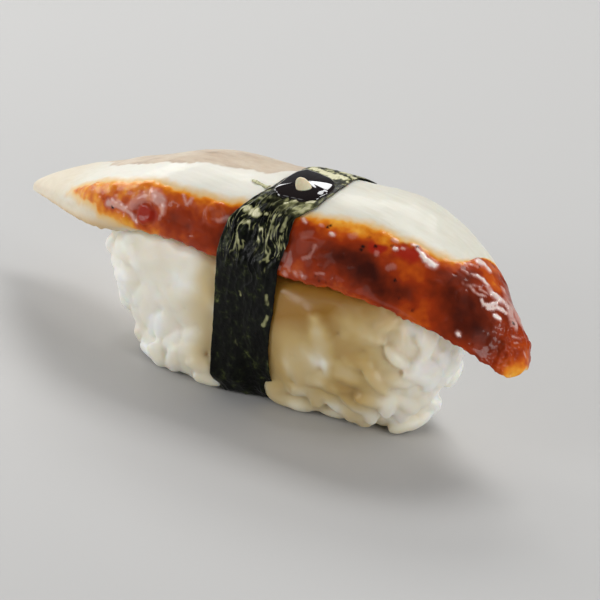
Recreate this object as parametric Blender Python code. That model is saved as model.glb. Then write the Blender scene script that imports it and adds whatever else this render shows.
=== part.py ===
# Eel nigiri: a pressed rice block, an arched slice of glazed eel laid along it,
# and a band of nori drawn round slice and rice near the middle.
# Axes: +X along the slice towards its blunt end, +Y towards the thin long edge
# of the slice, +Z up.  The rice and the band stand on Z = 0.  Sizes are in metres.

import math

import bmesh
import bpy
from mathutils import Vector, noise

MM = 0.001

# rice block
RICE_HALF_LENGTH = 31.2 * MM
RICE_HALF_WIDTH = 12.8 * MM
RICE_HEIGHT = 27.0 * MM
RICE_CENTRE = (-0.8 * MM, 0.0)
RICE_PLAN_SQUARENESS = 3.1
RICE_SIDE_SQUARENESS = 4.0
RICE_FOOT_LENGTH = 0.86
RICE_FOOT_WIDTH = (0.99, 0.70)
GRAIN_SPACING = 4.3 * MM
GRAIN_RELIEF = 1.5 * MM

# nori band
BAND_HALF_WIDTH = 5.6 * MM
NORI_THICKNESS = 0.4 * MM
BAND_SHIFT = 0.9 * MM
BAND_SLANT = 0.9 * MM
BAND_STRIPS = 4
BAND_POINTS = 60

# clear space left between neighbouring pieces
GAP = 0.3 * MM
GROOVE_DEPTH = NORI_THICKNESS + GAP
GROOVE_HALF_WIDTH = 7.3 * MM
GROOVE_SLOPE = 1.4 * MM

# eel slice, measured in millimetres at stations along its length: position,
# near edge, far edge, height of the near edge, rise of the far edge over it,
# thickness at the near edge, thickness at the far edge, set-back of the near shoulder
SLICE_STATIONS = (
    (-55.8, 2.4, 3.8, 12.9, 0.0, 1.2, 1.2, 0.2),
    (-52.0, -0.4, 6.2, 13.8, 0.9, 2.4, 2.0, 0.5),
    (-46.0, -4.6, 8.8, 15.5, 1.6, 3.4, 2.2, 0.8),
    (-38.0, -9.6, 10.4, 17.2, 1.8, 5.8, 2.8, 1.2),
    (-30.0, -12.8, 11.4, 18.9, 1.6, 8.8, 4.4, 1.8),
    (-18.0, -13.2, 11.8, 21.8, 1.0, 10.0, 6.8, 2.0),
    (-5.5, -13.1, 11.8, 21.8, 1.0, 10.2, 8.3, 3.8),
    (6.0, -12.8, 12.4, 22.6, 0.8, 9.9, 8.9, 5.0),
    (18.0, -12.6, 13.8, 24.0, 0.4, 8.4, 7.8, 8.0),
    (30.0, -11.2, 10.8, 23.1, 0.0, 6.8, 5.4, 7.6),
    (37.5, -7.4, 6.2, 20.3, 0.0, 5.4, 4.0, 4.6),
    (42.0, -3.4, 4.0, 17.2, 0.0, 4.2, 3.2, 2.0),
    (44.2, -0.6, 2.2, 16.2, 0.0, 2.2, 2.0, 0.5),
)
SLICE_RINGS = 46
SLICE_POINTS = 34
END_CROWDING = 0.08
SECTION_ROUNDING = 0.48
UNDERSIDE_HOLLOW = 1.8 * MM
TOP_CROWN = 2.2 * MM


def clear_scene():
    for item in list(bpy.data.objects):
        bpy.data.objects.remove(item, do_unlink=True)


def smooth_step(low, high, value):
    t = min(max((value - low) / (high - low), 0.0), 1.0)
    return t * t * (3.0 - 2.0 * t)


def station_sizes(x):
    """Slice sizes at a place along its length, on smooth curves through the stations."""
    rows = SLICE_STATIONS
    place = x / MM
    last = len(rows) - 2
    i = 0
    while i < last and place > rows[i + 1][0]:
        i += 1
    before = rows[max(i - 1, 0)]
    start = rows[i]
    end = rows[i + 1]
    after = rows[min(i + 2, len(rows) - 1)]
    span = end[0] - start[0]
    t = (place - start[0]) / span
    sizes = []
    for k in range(1, len(start)):
        slope_in = (end[k] - before[k]) / (end[0] - before[0]) * span
        slope_out = (after[k] - start[k]) / (after[0] - start[0]) * span
        value = (2 * t**3 - 3 * t**2 + 1) * start[k] + (t**3 - 2 * t**2 + t) * slope_in
        value += (-2 * t**3 + 3 * t**2) * end[k] + (t**3 - t**2) * slope_out
        sizes.append(value * MM)
    return sizes


def slice_point(x, side, level):
    """A point of the slice: side and level run from -1 to 1, near to far and under to top."""
    near, far, height, rise, thick, thin, set_back = station_sizes(x)
    up = (level + 1.0) / 2.0
    left = near + set_back * up
    across = (side + 1.0) / 2.0
    y = left + (far - left) * across
    z = height + rise * across + (thick + (thin - thick) * across) * up
    swell = 1.0 - side * side
    bulk = min(thick / (7.0 * MM), 1.0)
    z += (UNDERSIDE_HOLLOW * (1.0 - up) + TOP_CROWN * up) * swell * bulk
    return Vector((x, y, z))


def slice_underside(x, y):
    """Height of the hollow underside of the slice above a point of the floor."""
    near, far = station_sizes(x)[:2]
    side = min(max(2.0 * (y - near) / (far - near) - 1.0, -1.0), 1.0)
    return slice_point(x, side, -1.0).z


def make_object(name, mesh_data, colour, roughness, home):
    mesh = bpy.data.meshes.new(name)
    mesh_data.normal_update()
    mesh_data.to_mesh(mesh)
    mesh_data.free()
    piece = bpy.data.objects.new(name, mesh)
    home.objects.link(piece)
    material = bpy.data.materials.new(name + "_surface")
    material.use_nodes = True
    shader = material.node_tree.nodes["Principled BSDF"]
    shader.inputs["Base Color"].default_value = (*colour, 1.0)
    shader.inputs["Roughness"].default_value = roughness
    mesh.materials.append(material)
    return piece


def loft(rings):
    """A closed skin over rings of equal point count, with a fan over each end."""
    skin = bmesh.new()
    rows = [[skin.verts.new(p) for p in ring] for ring in rings]
    count = len(rings[0])
    for row, following in zip(rows, rows[1:]):
        for j in range(count):
            k = (j + 1) % count
            skin.faces.new((row[j], following[j], following[k], row[k]))
    for row in (rows[0], rows[-1]):
        middle = skin.verts.new(sum((v.co for v in row), Vector()) / count)
        for j in range(count):
            skin.faces.new((row[j], row[(j + 1) % count], middle))
    bmesh.ops.recalc_face_normals(skin, faces=skin.faces)
    return skin


def build_slice(home):
    start = SLICE_STATIONS[0][0] * MM
    end = SLICE_STATIONS[-1][0] * MM
    rings = []
    for i in range(SLICE_RINGS + 1):
        # rings crowd together towards both ends, where the slice rounds off
        turn = math.pi * (END_CROWDING + (1.0 - 2.0 * END_CROWDING) * i / SLICE_RINGS)
        t = 0.5 - 0.5 * math.cos(turn) / math.cos(math.pi * END_CROWDING)
        x = start + (end - start) * t
        ring = []
        for j in range(SLICE_POINTS):
            turn = 2.0 * math.pi * j / SLICE_POINTS
            side = math.copysign(abs(math.cos(turn)) ** SECTION_ROUNDING, math.cos(turn))
            level = math.copysign(abs(math.sin(turn)) ** SECTION_ROUNDING, math.sin(turn))
            ring.append(slice_point(x, side, level))
        rings.append(ring)
    return make_object("eel_slice", loft(rings), (0.62, 0.40, 0.22), 0.35, home)


def band_place(x, y):
    """The band lies a little askew: its far side sits nearer the blunt end of the slice."""
    return x + BAND_SHIFT + BAND_SLANT * y / RICE_HALF_WIDTH


def rice_point(direction):
    """The surface of the rice block in one direction from its middle."""
    p = RICE_PLAN_SQUARENESS
    q = RICE_SIDE_SQUARENESS
    flat = (abs(direction.x) ** p + abs(direction.y) ** p) ** (1.0 / p)
    size = (flat**q + abs(direction.z) ** q) ** (-1.0 / q)
    level = direction.z * size
    low = smooth_step(0.25, -1.0, level)
    # the block narrows towards its foot, more so under its right-hand half
    across = (direction.x * size + 1.0) / 2.0
    foot_width = RICE_FOOT_WIDTH[0] + (RICE_FOOT_WIDTH[1] - RICE_FOOT_WIDTH[0]) * across
    x = direction.x * size * RICE_HALF_LENGTH * (1.0 - (1.0 - RICE_FOOT_LENGTH) * low)
    y = direction.y * size * RICE_HALF_WIDTH * (1.0 - (1.0 - foot_width) * low)
    z = RICE_HEIGHT * (0.43 + 0.57 * level)
    x += RICE_CENTRE[0]
    y += RICE_CENTRE[1]
    # grains show as rounded lumps, each cell standing proud in its middle
    place = Vector((x, y * 1.25, z * 1.25)) / GRAIN_SPACING
    nearest = noise.voronoi(place)[0][0]
    lump = GRAIN_RELIEF * (0.42 - nearest)
    outward = Vector((x / RICE_HALF_LENGTH, y / RICE_HALF_WIDTH * 1.6, level)).normalized()
    # the band draws the rice in where it passes round it
    beside = abs(x - band_place(0.0, y))
    away = smooth_step(GROOVE_HALF_WIDTH, GROOVE_HALF_WIDTH + GROOVE_SLOPE, beside)
    lump *= 0.25 + 0.75 * away
    point = Vector((x, y, z)) + outward * (lump - GROOVE_DEPTH * (1.0 - away))
    floor = GROOVE_DEPTH * (1.0 - away)
    ceiling = slice_underside(point.x, point.y) - GAP * 1.6
    point.z = min(max(point.z, floor), ceiling)
    return point


def build_rice(home):
    skin = bmesh.new()
    bmesh.ops.create_icosphere(skin, subdivisions=5, radius=1.0)
    for v in skin.verts:
        v.co = rice_point(v.co.normalized())
    bmesh.ops.recalc_face_normals(skin, faces=skin.faces)
    return make_object("rice", skin, (0.80, 0.75, 0.62), 0.45, home)


def band_outline(x, cores):
    """Points of the taut loop that clears slice and rice at one place across the band."""
    reach = 1.7 * MM
    middle = RICE_HEIGHT * 0.62
    skin = [v.co for core in cores for v in core.data.vertices]
    body = [p for p in skin if abs(p.x - band_place(x, p.y)) < reach]
    turns = [2.0 * math.pi * k / 240 for k in range(240)]
    lines = []
    for turn in turns:
        c, s = math.cos(turn), math.sin(turn)
        lines.append(max(p.y * c + (p.z - middle) * s for p in body) + GAP)
    points = []
    for j in range(BAND_POINTS):
        turn = 2.0 * math.pi * j / BAND_POINTS
        reach_out = 1.0
        for line_turn, line in zip(turns, lines):
            facing = math.cos(turn - line_turn)
            if facing > 0.2:
                reach_out = min(reach_out, line / facing)
        points.append(Vector((reach_out * math.cos(turn), middle + reach_out * math.sin(turn))))
    return points


def build_band(cores, home):
    skin = bmesh.new()
    inner = []
    outer = []
    for i in range(BAND_STRIPS + 1):
        x = BAND_HALF_WIDTH * (2.0 * i / BAND_STRIPS - 1.0)
        loop = band_outline(x, cores)
        for p in loop:
            p.y = max(p.y, NORI_THICKNESS)
        inner.append([skin.verts.new((band_place(x, p.x), p.x, p.y)) for p in loop])
        row = []
        for j, p in enumerate(loop):
            along = (loop[(j + 1) % BAND_POINTS] - loop[j - 1]).normalized()
            away = Vector((along.y, -along.x))
            q = p + away * NORI_THICKNESS
            row.append(skin.verts.new((band_place(x, p.x), q.x, max(q.y, 0.0))))
        outer.append(row)
    for i in range(BAND_STRIPS):
        for j in range(BAND_POINTS):
            k = (j + 1) % BAND_POINTS
            skin.faces.new((outer[i][j], outer[i + 1][j], outer[i + 1][k], outer[i][k]))
            skin.faces.new((inner[i][j], inner[i][k], inner[i + 1][k], inner[i + 1][j]))
    for i in (0, BAND_STRIPS):
        for j in range(BAND_POINTS):
            k = (j + 1) % BAND_POINTS
            skin.faces.new((inner[i][j], outer[i][j], outer[i][k], inner[i][k]))
    bmesh.ops.recalc_face_normals(skin, faces=skin.faces)
    return make_object("nori_band", skin, (0.03, 0.04, 0.025), 0.5, home)


def centre_over_origin(pieces):
    """Puts the middle of the whole footprint over the origin."""
    corners = [v.co for piece in pieces for v in piece.data.vertices]
    shift_x = (min(c.x for c in corners) + max(c.x for c in corners)) / 2.0
    shift_y = (min(c.y for c in corners) + max(c.y for c in corners)) / 2.0
    for piece in pieces:
        for v in piece.data.vertices:
            v.co.x -= shift_x
            v.co.y -= shift_y


clear_scene()
nigiri = bpy.data.collections.new("eel_nigiri")
bpy.context.scene.collection.children.link(nigiri)
rice = build_rice(nigiri)
eel = build_slice(nigiri)
band = build_band((rice, eel), nigiri)
centre_over_origin((rice, eel, band))
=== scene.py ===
import math

import bmesh
import bpy
import numpy as np
from mathutils import Matrix, Vector, noise
from mathutils.bvhtree import BVHTree
from mathutils.kdtree import KDTree


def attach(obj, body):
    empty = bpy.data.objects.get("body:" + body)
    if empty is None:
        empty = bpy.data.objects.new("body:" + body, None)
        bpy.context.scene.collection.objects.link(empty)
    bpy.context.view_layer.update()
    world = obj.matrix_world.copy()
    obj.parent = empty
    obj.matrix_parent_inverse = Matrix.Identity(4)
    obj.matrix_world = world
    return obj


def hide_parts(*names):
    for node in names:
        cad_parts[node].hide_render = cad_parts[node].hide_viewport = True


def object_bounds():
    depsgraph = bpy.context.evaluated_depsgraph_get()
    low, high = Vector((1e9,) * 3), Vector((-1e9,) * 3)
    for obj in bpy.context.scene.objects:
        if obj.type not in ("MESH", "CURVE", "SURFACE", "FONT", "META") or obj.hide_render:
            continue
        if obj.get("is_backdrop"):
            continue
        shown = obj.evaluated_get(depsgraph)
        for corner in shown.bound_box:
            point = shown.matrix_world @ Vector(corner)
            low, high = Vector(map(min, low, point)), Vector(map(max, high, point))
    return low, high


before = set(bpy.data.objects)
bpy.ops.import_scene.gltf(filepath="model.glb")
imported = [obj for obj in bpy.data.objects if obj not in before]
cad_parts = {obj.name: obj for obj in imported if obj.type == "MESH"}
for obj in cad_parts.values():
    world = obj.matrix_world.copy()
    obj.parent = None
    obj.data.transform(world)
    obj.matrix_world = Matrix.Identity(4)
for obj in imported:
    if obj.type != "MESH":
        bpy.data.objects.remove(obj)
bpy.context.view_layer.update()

MM = 0.001

# ---------------------------------------------------------------------------
# Eel slice.  A long fillet of freshwater eel, steamed, then grilled and brushed
# with sweet soy glaze, and cut on the slant.  Its near side carries the browned,
# lacquered crust; the top shows white flesh with a strip of beige skin behind it.
# ---------------------------------------------------------------------------

# where the slice's own zero, the middle of the nori band, lies in the frame
SLICE_ZERO = (5.8, -0.415)

# stations along the slice, in mm: place, near edge, far edge, height of the near
# edge, rise of the far edge, thickness near and far, set-back of the near shoulder
SLICE_STATIONS = np.array((
    (-55.8, 2.6, 3.8, 12.9, 0.0, 1.1, 1.1, 0.2),
    (-52.0, 0.0, 6.0, 13.9, 0.8, 2.1, 1.8, 0.5),
    (-46.0, -4.2, 8.8, 15.7, 1.5, 3.2, 2.1, 0.8),
    (-38.0, -9.3, 10.4, 17.4, 1.8, 5.6, 2.8, 1.2),
    (-30.0, -12.8, 11.4, 18.9, 1.6, 8.8, 4.4, 1.8),
    (-18.0, -13.2, 11.8, 21.8, 1.0, 10.0, 6.8, 2.0),
    (-5.5, -13.1, 11.8, 21.8, 1.0, 10.2, 8.3, 3.8),
    (6.0, -12.8, 12.4, 22.6, 0.8, 9.9, 8.9, 5.0),
    (18.0, -12.6, 13.8, 24.0, 0.4, 8.4, 7.8, 8.0),
    (30.0, -11.2, 10.8, 23.1, 0.0, 6.8, 5.4, 7.6),
    (37.5, -7.4, 6.2, 20.3, 0.0, 5.4, 4.0, 4.6),
    (42.0, -3.9, 4.0, 17.0, 0.0, 4.4, 3.2, 2.0),
    (44.2, -1.8, 2.4, 15.6, 0.0, 3.2, 2.6, 0.8),
))
SLICE_START, SLICE_END = SLICE_STATIONS[0, 0], SLICE_STATIONS[-1, 0]
# its section is a rounded oblong, hollow beneath and crowned on top by so many mm
SECTION_ROUNDING = 0.48
UNDERSIDE_HOLLOW = 1.8
TOP_CROWN = 2.2
# rings of points along the slice, and points in each ring
SLICE_RINGS = 440
SLICE_POINTS = 224

# edges of the glaze, as turns in degrees round the section from its far side: place, upper
# edge, lower edge
GLAZE_EDGES = np.array((
    (-39.0, 148, 148), (-37.6, 135, 160), (-35, 134, 172), (-32.5, 134, 178),
    (-30, 136, 180), (-26, 138, 185), (-24, 137, 192), (-22, 136, 206), (-19, 138, 226),
    (-16.5, 142, 234), (-13, 145, 237), (-9, 140, 238), (-5, 136, 238), (5, 128, 238),
    (9, 128, 238), (13, 124, 238), (18, 121, 238), (23, 120, 239), (26, 116, 240),
    (28, 111, 241), (30.2, 102, 242), (31.3, 92, 244), (31.8, 75, 248),
    (32.3, 50, 252), (34, 0, 258), (37, -40, 264), (44.2, -60, 268),
))
GLAZE_START = -39.6
# the edge of the skin, in the same way: place, edge
SKIN_EDGES = np.array((
    (-52, 62), (-46, 68), (-42, 80), (-38, 90), (-33, 96), (-26, 98), (-21, 99),
    (-15, 95), (-9, 91), (-5, 90), (4, 78), (9, 40), (44, 30),
))
# where the lacquer is thick and dark, or thin and light: place, its radius in mm, and
# how much deeper or shallower its colour is
DARK_PATCHES = (
    (20.1, -8.4, 28.1, 2.0, 4.8), (22.4, -9.2, 26.9, 2.4, 3.0), (24.4, -9.5, 26.3, 1.8, 2.4),
    (26.7, -7.9, 27.3, 1.5, 3.0), (17.5, -7.6, 29.5, 3.2, 2.4), (13.4, -8.2, 29.5, 2.6, 1.8),
    (33.5, -4.2, 27.3, 3.2, 2.0), (36.5, -4.2, 25.0, 3.0, 2.0), (35.5, -6.3, 24.0, 2.4, 1.4),
    (40.0, -3.6, 21.8, 2.2, 1.5), (29.8, -2.9, 30.1, 1.8, 2.0), (-15.0, -12.0, 27.0, 2.2, 1.6),
    (-8.8, -11.8, 26.0, 3.0, 1.5), (-12.2, -11.2, 29.2, 1.5, 0.8),
)
LIGHT_PATCHES = (
    (24.3, -5.8, 29.7, 2.0, 1.0), (27.2, -5.6, 29.1, 2.4, 1.8), (30.5, -6.5, 27.1, 2.6, 0.9),
    (27.0, -9.2, 26.0, 2.0, 0.9), (30.5, -8.8, 25.0, 2.4, 1.2), (33.2, -8.0, 23.9, 2.0, 0.8),
    (15.1, -10.2, 26.7, 2.4, 1.3), (8.7, -10.2, 27.2, 2.4, 1.2), (21.1, -4.3, 31.4, 2.2, 1.2),
    (30.3, 0.0, 31.0, 2.0, 2.5), (28.5, -1.7, 31.1, 1.4, 1.2), (36.0, 3.0, 27.8, 2.2, 5.0),
    (42.2, -2.9, 17.9, 2.4, 2.2), (43.2, -1.3, 17.6, 2.4, 2.2), (42.0, -0.4, 21.8, 2.6, 2.2),
    (32.6, 2.6, 30.6, 2.0, 2.6), (33.6, 5.0, 29.6, 2.2, 3.0), (43.6, 0.6, 19.5, 2.2, 1.6),
    (19.5, -2.4, 32.8, 2.4, 2.0), (13.1, -5.2, 32.4, 2.4, 2.5), (15.5, -4.1, 32.7, 2.2, 2.5),
    (10.4, -5.4, 32.6, 1.5, 1.5), (-34.1, -10.0, 23.9, 2.4, 2.0), (-29.4, -10.8, 26.6, 2.4, 2.0),
    (-24.8, -11.2, 28.4, 2.4, 2.2), (-31.5, -11.2, 24.6, 2.0, 1.2), (-22.7, -12.6, 23.6, 1.6, 1.5),
    (-18.0, -12.5, 24.3, 1.4, 1.2),
)
# clear lacquer over red, as middles and radii in mm; the last is in a blister that burst,
# and another blister has left only its ring
BURST_BLISTER = (-19.9, -12.5, 26.3)
RING_BLISTER = (-7.7, -10.3, 29.7)
RED_SPOTS = (((18.7, -4.9, 31.4), 1.2), ((24.0, -3.3, 31.4), 1.9), (BURST_BLISTER, 2.0))
# painted highlights: runs and drops of lacquer, raised a little and wetter, whose highlights are painted
# pale into the colour, as paths through the points given, with one half width in mm or those of both ends,
# and how pale the painted highlight stands
PAINTED_HIGHLIGHT_RUNS = (
    # left of the band
    (((-27.5, -12.2, 25.4), (-25.9, -12.2, 25.7), (-23.8, -12.4, 25.7), (-22.3, -12.5, 25.1),
      (-21.2, -12.8, 24.4)), (0.75, 0.35), 1.3),
    (((-27.0, -12.3, 26.2), (-25.9, -12.2, 25.9)), (0.6, 0.45), 1.2),
    (((-23.9, -12.3, 25.8), (-22.4, -12.1, 27.2), (-20.6, -11.8, 28.9),
      (-18.7, -11.7, 29.5)), (0.6, 1.2), 1.0),
    (((-18.7, -11.7, 29.5), (-17.1, -11.7, 29.2), (-16.7, -12.2, 28.1),
      (-17.0, -12.8, 26.3)), (1.1, 0.4), 1.3),
    (((-14.1, -10.5, 31.0), (-12.8, -11.2, 29.9), (-12.5, -10.4, 30.8)), (0.25, 0.4), 1.2),
    (((-9.3, -10.9, 29.8), (-8.3, -11.2, 29.1), (-6.8, -10.8, 29.0),
      (-5.8, -10.2, 29.6)), (0.25, 0.5), 1.0),
    (((-8.7, -10.4, 30.3), (-7.9, -10.0, 30.6)), (0.4, 0.2), 0.5),
    (((-12.0, -11.9, 27.9), (-11.8, -11.8, 27.8)), 0.25, 1.0),
    # right of the band
    (((7.7, -8.4, 30.5), (8.6, -7.7, 31.1)), 0.6, 0.3),
    (((10.1, -8.5, 29.8), (10.1, -9.0, 29.0), (10.0, -9.5, 28.3), (9.1, -9.9, 27.8)), 0.3, 0.8),
    (((6.0, -10.3, 27.5), (5.8, -10.7, 26.7)), 0.4, 1.1),
    (((5.6, -11.2, 25.7), (5.7, -11.2, 25.4)), 0.3, 1.0),
    (((6.7, -11.4, 24.9), (7.1, -11.4, 24.9)), 0.35, 1.1),
    (((8.8, -11.2, 25.5), (9.2, -11.2, 25.4)), 0.3, 0.8),
    (((10.3, -11.1, 25.5), (10.7, -11.0, 25.6)), 0.3, 0.8),
    (((12.1, -10.5, 26.5), (13.3, -10.3, 26.8)), 0.2, 0.8),
    (((6.1, -6.5, 32.4), (6.9, -6.8, 32.1)), 0.35, 1.5),
    (((9.3, -6.2, 32.2), (9.6, -6.2, 32.2)), 0.25, 1.0),
    (((11.5, -6.5, 31.6), (11.9, -6.5, 31.6)), 0.4, 1.7),
    (((21.5, -3.8, 31.6), (21.9, -3.8, 31.6)), 0.35, 1.8),
    (((22.6, -3.2, 31.8), (22.9, -3.2, 31.8)), 0.25, 1.3),
    (((20.6, -2.8, 32.4), (21.2, -2.8, 32.4)), 0.35, 1.2),
    (((23.5, -1.9, 32.3), (24.4, -1.7, 32.2)), 0.3, 1.5),
    (((22.4, -6.4, 29.6), (23.0, -5.9, 29.9)), 0.5, 0.5),
    (((19.5, -5.5, 30.9), (19.6, -5.7, 30.7)), 0.35, 0.7),
    (((14.5, -5.4, 31.9), (15.0, -5.0, 32.0)), 0.5, 0.5),
    # over the blunt end
    (((32.0, -0.4, 30.5), (33.2, -0.1, 30.0), (33.9, 0.9, 29.7), (34.7, 1.4, 29.2), (35.8, 1.3, 28.5),
      (36.7, 0.9, 27.8), (37.6, 1.3, 27.0), (38.2, 1.9, 26.4)), (0.38, 0.75), 1.9),
    (((37.6, 1.3, 27.0), (38.4, 2.2, 26.2), (39.2, 2.2, 25.4), (40.0, 1.9, 24.7),
      (41.0, 1.4, 23.7)), (0.75, 0.9), 1.4),
    (((36.3, 4.4, 27.0), (37.6, 3.5, 26.8), (38.6, 3.2, 25.9), (39.4, 3.5, 24.5),
      (40.1, 3.7, 23.1)), (0.5, 1.2), 1.2),
    (((31.3, 1.0, 30.9), (32.0, 1.7, 30.6), (32.7, 2.3, 30.3)), (0.25, 0.35), 1.2),
    (((33.4, -2.0, 29.3), (34.2, -1.4, 28.9), (35.0, -1.4, 28.3), (35.7, -1.1, 27.9),
      (36.5, -0.3, 27.6)), (0.4, 0.2), 1.4),
    (((34.0, -1.2, 29.1), (34.7, -0.5, 28.8), (35.3, -0.1, 28.6)), (0.2, 0.36), 1.4),
    (((35.4, -0.4, 28.4), (35.9, -0.1, 28.1), (36.3, 0.2, 27.8)), (0.36, 0.2), 1.6),
    (((32.9, -2.9, 29.2), (33.2, -2.9, 28.9)), 0.3, 1.2),
    (((36.4, -1.3, 27.3), (36.9, -1.4, 26.8), (37.5, -0.8, 26.6), (37.8, 0.3, 26.6)), (0.28, 0.5), 1.8),
    (((37.5, -1.4, 26.3), (38.1, -0.6, 26.1), (38.3, 0.2, 26.2), (38.8, 0.8, 25.8),
      (39.4, 1.1, 25.4)), (0.22, 0.5), 1.8),
    (((39.0, -1.0, 25.4), (39.5, -0.6, 25.0)), (0.5, 0.4), 2.0),
    (((36.1, -6.5, 23.5), (36.3, -6.3, 23.6)), (0.55, 0.4), 2.0),
    (((36.1, -6.4, 23.6), (36.3, -5.6, 24.0)), (0.35, 0.1), 1.6),
    (((41.7, -0.2, 22.6), (42.5, 0.8, 22.1)), (0.2, 0.35), 1.3),
    (((42.3, -0.5, 21.8), (42.6, 0.1, 21.7)), (0.15, 0.2), 1.2),
    (((43.2, 0.5, 20.4), (44.0, 0.9, 19.4)), (0.1, 0.3), 1.1),
    (((42.8, -0.6, 20.4), (43.2, -0.6, 19.4)), (0.2, 0.1), 1.0),
    (((32.4, 3.6, 30.5), (32.9, 4.2, 30.1), (33.7, 4.2, 29.5)), (0.95, 0.6), 1.9),
    # where the glaze begins, right of the band
    (((24.6, -2.1, 31.9), (25.8, -2.5, 31.5)), 0.3, 1.9),
    (((25.9, -2.5, 31.4), (26.8, -2.7, 31.1)), 0.5, 2.0),
    (((27.0, -2.8, 31.0), (28.2, -2.9, 30.6)), 0.72, 2.0),
)
# crumbs of char on the glaze: place and radius in mm
CHAR_SPECKS = (
    (10.4, -6.0, 32.2, 0.3), (10.7, -5.6, 32.4, 0.25), (17.0, -5.8, 31.2, 0.3), (17.1, -6.2, 30.8, 0.3),
    (18.7, -4.9, 31.5, 0.25), (24.3, -1.8, 32.2, 0.25), (24.3, -7.2, 28.5, 0.25), (-28.7, -10.4, 28.7, 0.3),
)


def slice_sizes(place):
    """Sizes of the slice at a place along it, on smooth curves through the stations."""
    rows = SLICE_STATIONS
    i = int(np.clip(np.searchsorted(rows[:, 0], place) - 1, 0, len(rows) - 2))
    before, start = rows[max(i - 1, 0)], rows[i]
    end, after = rows[i + 1], rows[min(i + 2, len(rows) - 1)]
    span = end[0] - start[0]
    t = (place - start[0]) / span
    slope_in = (end - before) / (end[0] - before[0]) * span
    slope_out = (after - start) / (after[0] - start[0]) * span
    curve = (2 * t**3 - 3 * t**2 + 1) * start + (t**3 - 2 * t**2 + t) * slope_in
    curve += (-2 * t**3 + 3 * t**2) * end + (t**3 - t**2) * slope_out
    return curve[1:]


def slice_section(place, side, level):
    """Points of the section: side runs -1 near to 1 far, level -1 under to 1 on top."""
    near, far, height, rise, thick, thin, set_back = slice_sizes(place)
    up = (level + 1) / 2
    across = (side + 1) / 2
    left = near + set_back * up
    y = left + (far - left) * across
    z = height + rise * across + (thick + (thin - thick) * across) * up
    swell = (1 - side**2) * min(thick / 7, 1)
    z = z + (UNDERSIDE_HOLLOW * (1 - up) + TOP_CROWN * up) * swell
    return np.stack([np.full_like(y, place), y, z], axis=-1)


def round_section(place, turns):
    """Points of the section at the given turns, in radians from its far side."""
    c, s = np.cos(turns), np.sin(turns)
    side = np.sign(c) * np.abs(c) ** SECTION_ROUNDING
    level = np.sign(s) * np.abs(s) ** SECTION_ROUNDING
    return slice_section(place, side, level)


def slice_underside(x, y):
    """Height of the underside of the slice over points of the floor, in the frame's mm."""
    heights = []
    for px, py in zip(np.atleast_1d(x - SLICE_ZERO[0]), np.atleast_1d(y - SLICE_ZERO[1])):
        near, far = slice_sizes(np.clip(px, SLICE_START + 0.3, SLICE_END - 0.2))[:2]
        side = np.clip(2 * (py - near) / (far - near) - 1, -1, 1)
        heights.append(slice_section(px, side, np.array(-1.0))[..., 2])
    return np.array(heights)


def smooth(low, high, value):
    """0 up to low, 1 from high on, and a soft slope between them."""
    t = np.clip((value - low) / (high - low), 0, 1)
    return t * t * (3 - 2 * t)


def wander(points, size, seed):
    """Smooth random values from -1 to 1 at points in mm, for features of a given size."""
    shift = Vector((seed * 7.3, seed * 3.1, seed * 5.7))
    return np.array([noise.noise(Vector(p) / size + shift) for p in points])


def off_path(points, path, half_widths):
    """Distance from each point to a path of straight runs, as a share of its half width."""
    nearest = np.full(len(points), 99.0)
    wide = np.interp(np.linspace(0, 1, len(path)), (0, 1), np.broadcast_to(half_widths, 2))
    for k in range(len(path) - 1):
        start, run = np.array(path[k]), np.array(path[k + 1]) - np.array(path[k])
        share = np.clip((points - start) @ run / (run @ run), 0, 1)
        off = np.linalg.norm(points - start - share[:, None] * run, axis=1)
        nearest = np.minimum(nearest, off / (wide[k] + (wide[k + 1] - wide[k]) * share))
    return nearest


def grid_normals(grid):
    """Outward normals of a closed tube of rings, from its own neighbours."""
    along = np.gradient(grid, axis=0)
    around = np.roll(grid, -1, axis=1) - np.roll(grid, 1, axis=1)
    out = np.cross(around, along)
    return out / np.maximum(np.linalg.norm(out, axis=-1, keepdims=True), 1e-9)


def tube_faces(rings, points):
    """Quads of a tube whose points are stored ring after ring."""
    faces = []
    for i in range(rings - 1):
        for j in range(points):
            k = (j + 1) % points
            faces.append((i * points + j, i * points + k,
                          (i + 1) * points + k, (i + 1) * points + j))
    return faces


def make_piece(name, verts, faces, material, notes=None):
    """A smooth mesh object from points in mm; notes are one number for each point."""
    mesh = bpy.data.meshes.new(name)
    mesh.from_pydata((np.asarray(verts) * MM).tolist(), [], faces)
    shell = bmesh.new()
    shell.from_mesh(mesh)
    bmesh.ops.recalc_face_normals(shell, faces=shell.faces)
    shell.to_mesh(mesh)
    shell.free()
    mesh.polygons.foreach_set("use_smooth", [True] * len(mesh.polygons))
    for note, values in (notes or {}).items():
        layer = mesh.attributes.new(note, "FLOAT", "POINT")
        layer.data.foreach_set("value", np.asarray(values, dtype=np.float32))
    mesh.materials.append(material)
    piece = bpy.data.objects.new(name, mesh)
    bpy.context.scene.collection.objects.link(piece)
    return piece


def linear(code):
    """Linear colour of an sRGB hex code."""
    parts = [int(code[i:i + 2], 16) / 255 for i in (0, 2, 4)]
    return [c / 12.92 if c <= 0.04045 else ((c + 0.055) / 1.055) ** 2.4 for c in parts] + [1]


def add_node(tree, kind, settings=None, inputs=None):
    """Adds a node with its settings; each input is a value or a socket to link from."""
    node = tree.nodes.new(kind)
    for name, value in (settings or {}).items():
        setattr(node, name, value)
    for name, value in (inputs or {}).items():
        if isinstance(value, bpy.types.NodeSocket):
            tree.links.new(value, node.inputs[name])
        else:
            node.inputs[name].default_value = value
    return node


def new_material(name, values):
    """A material, its node tree and its shader, on which the values are set."""
    material = bpy.data.materials.new(name)
    material.use_nodes = True
    shader = material.node_tree.nodes["Principled BSDF"]
    for socket, value in values.items():
        shader.inputs[socket].default_value = value
    return material, material.node_tree, shader


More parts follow.
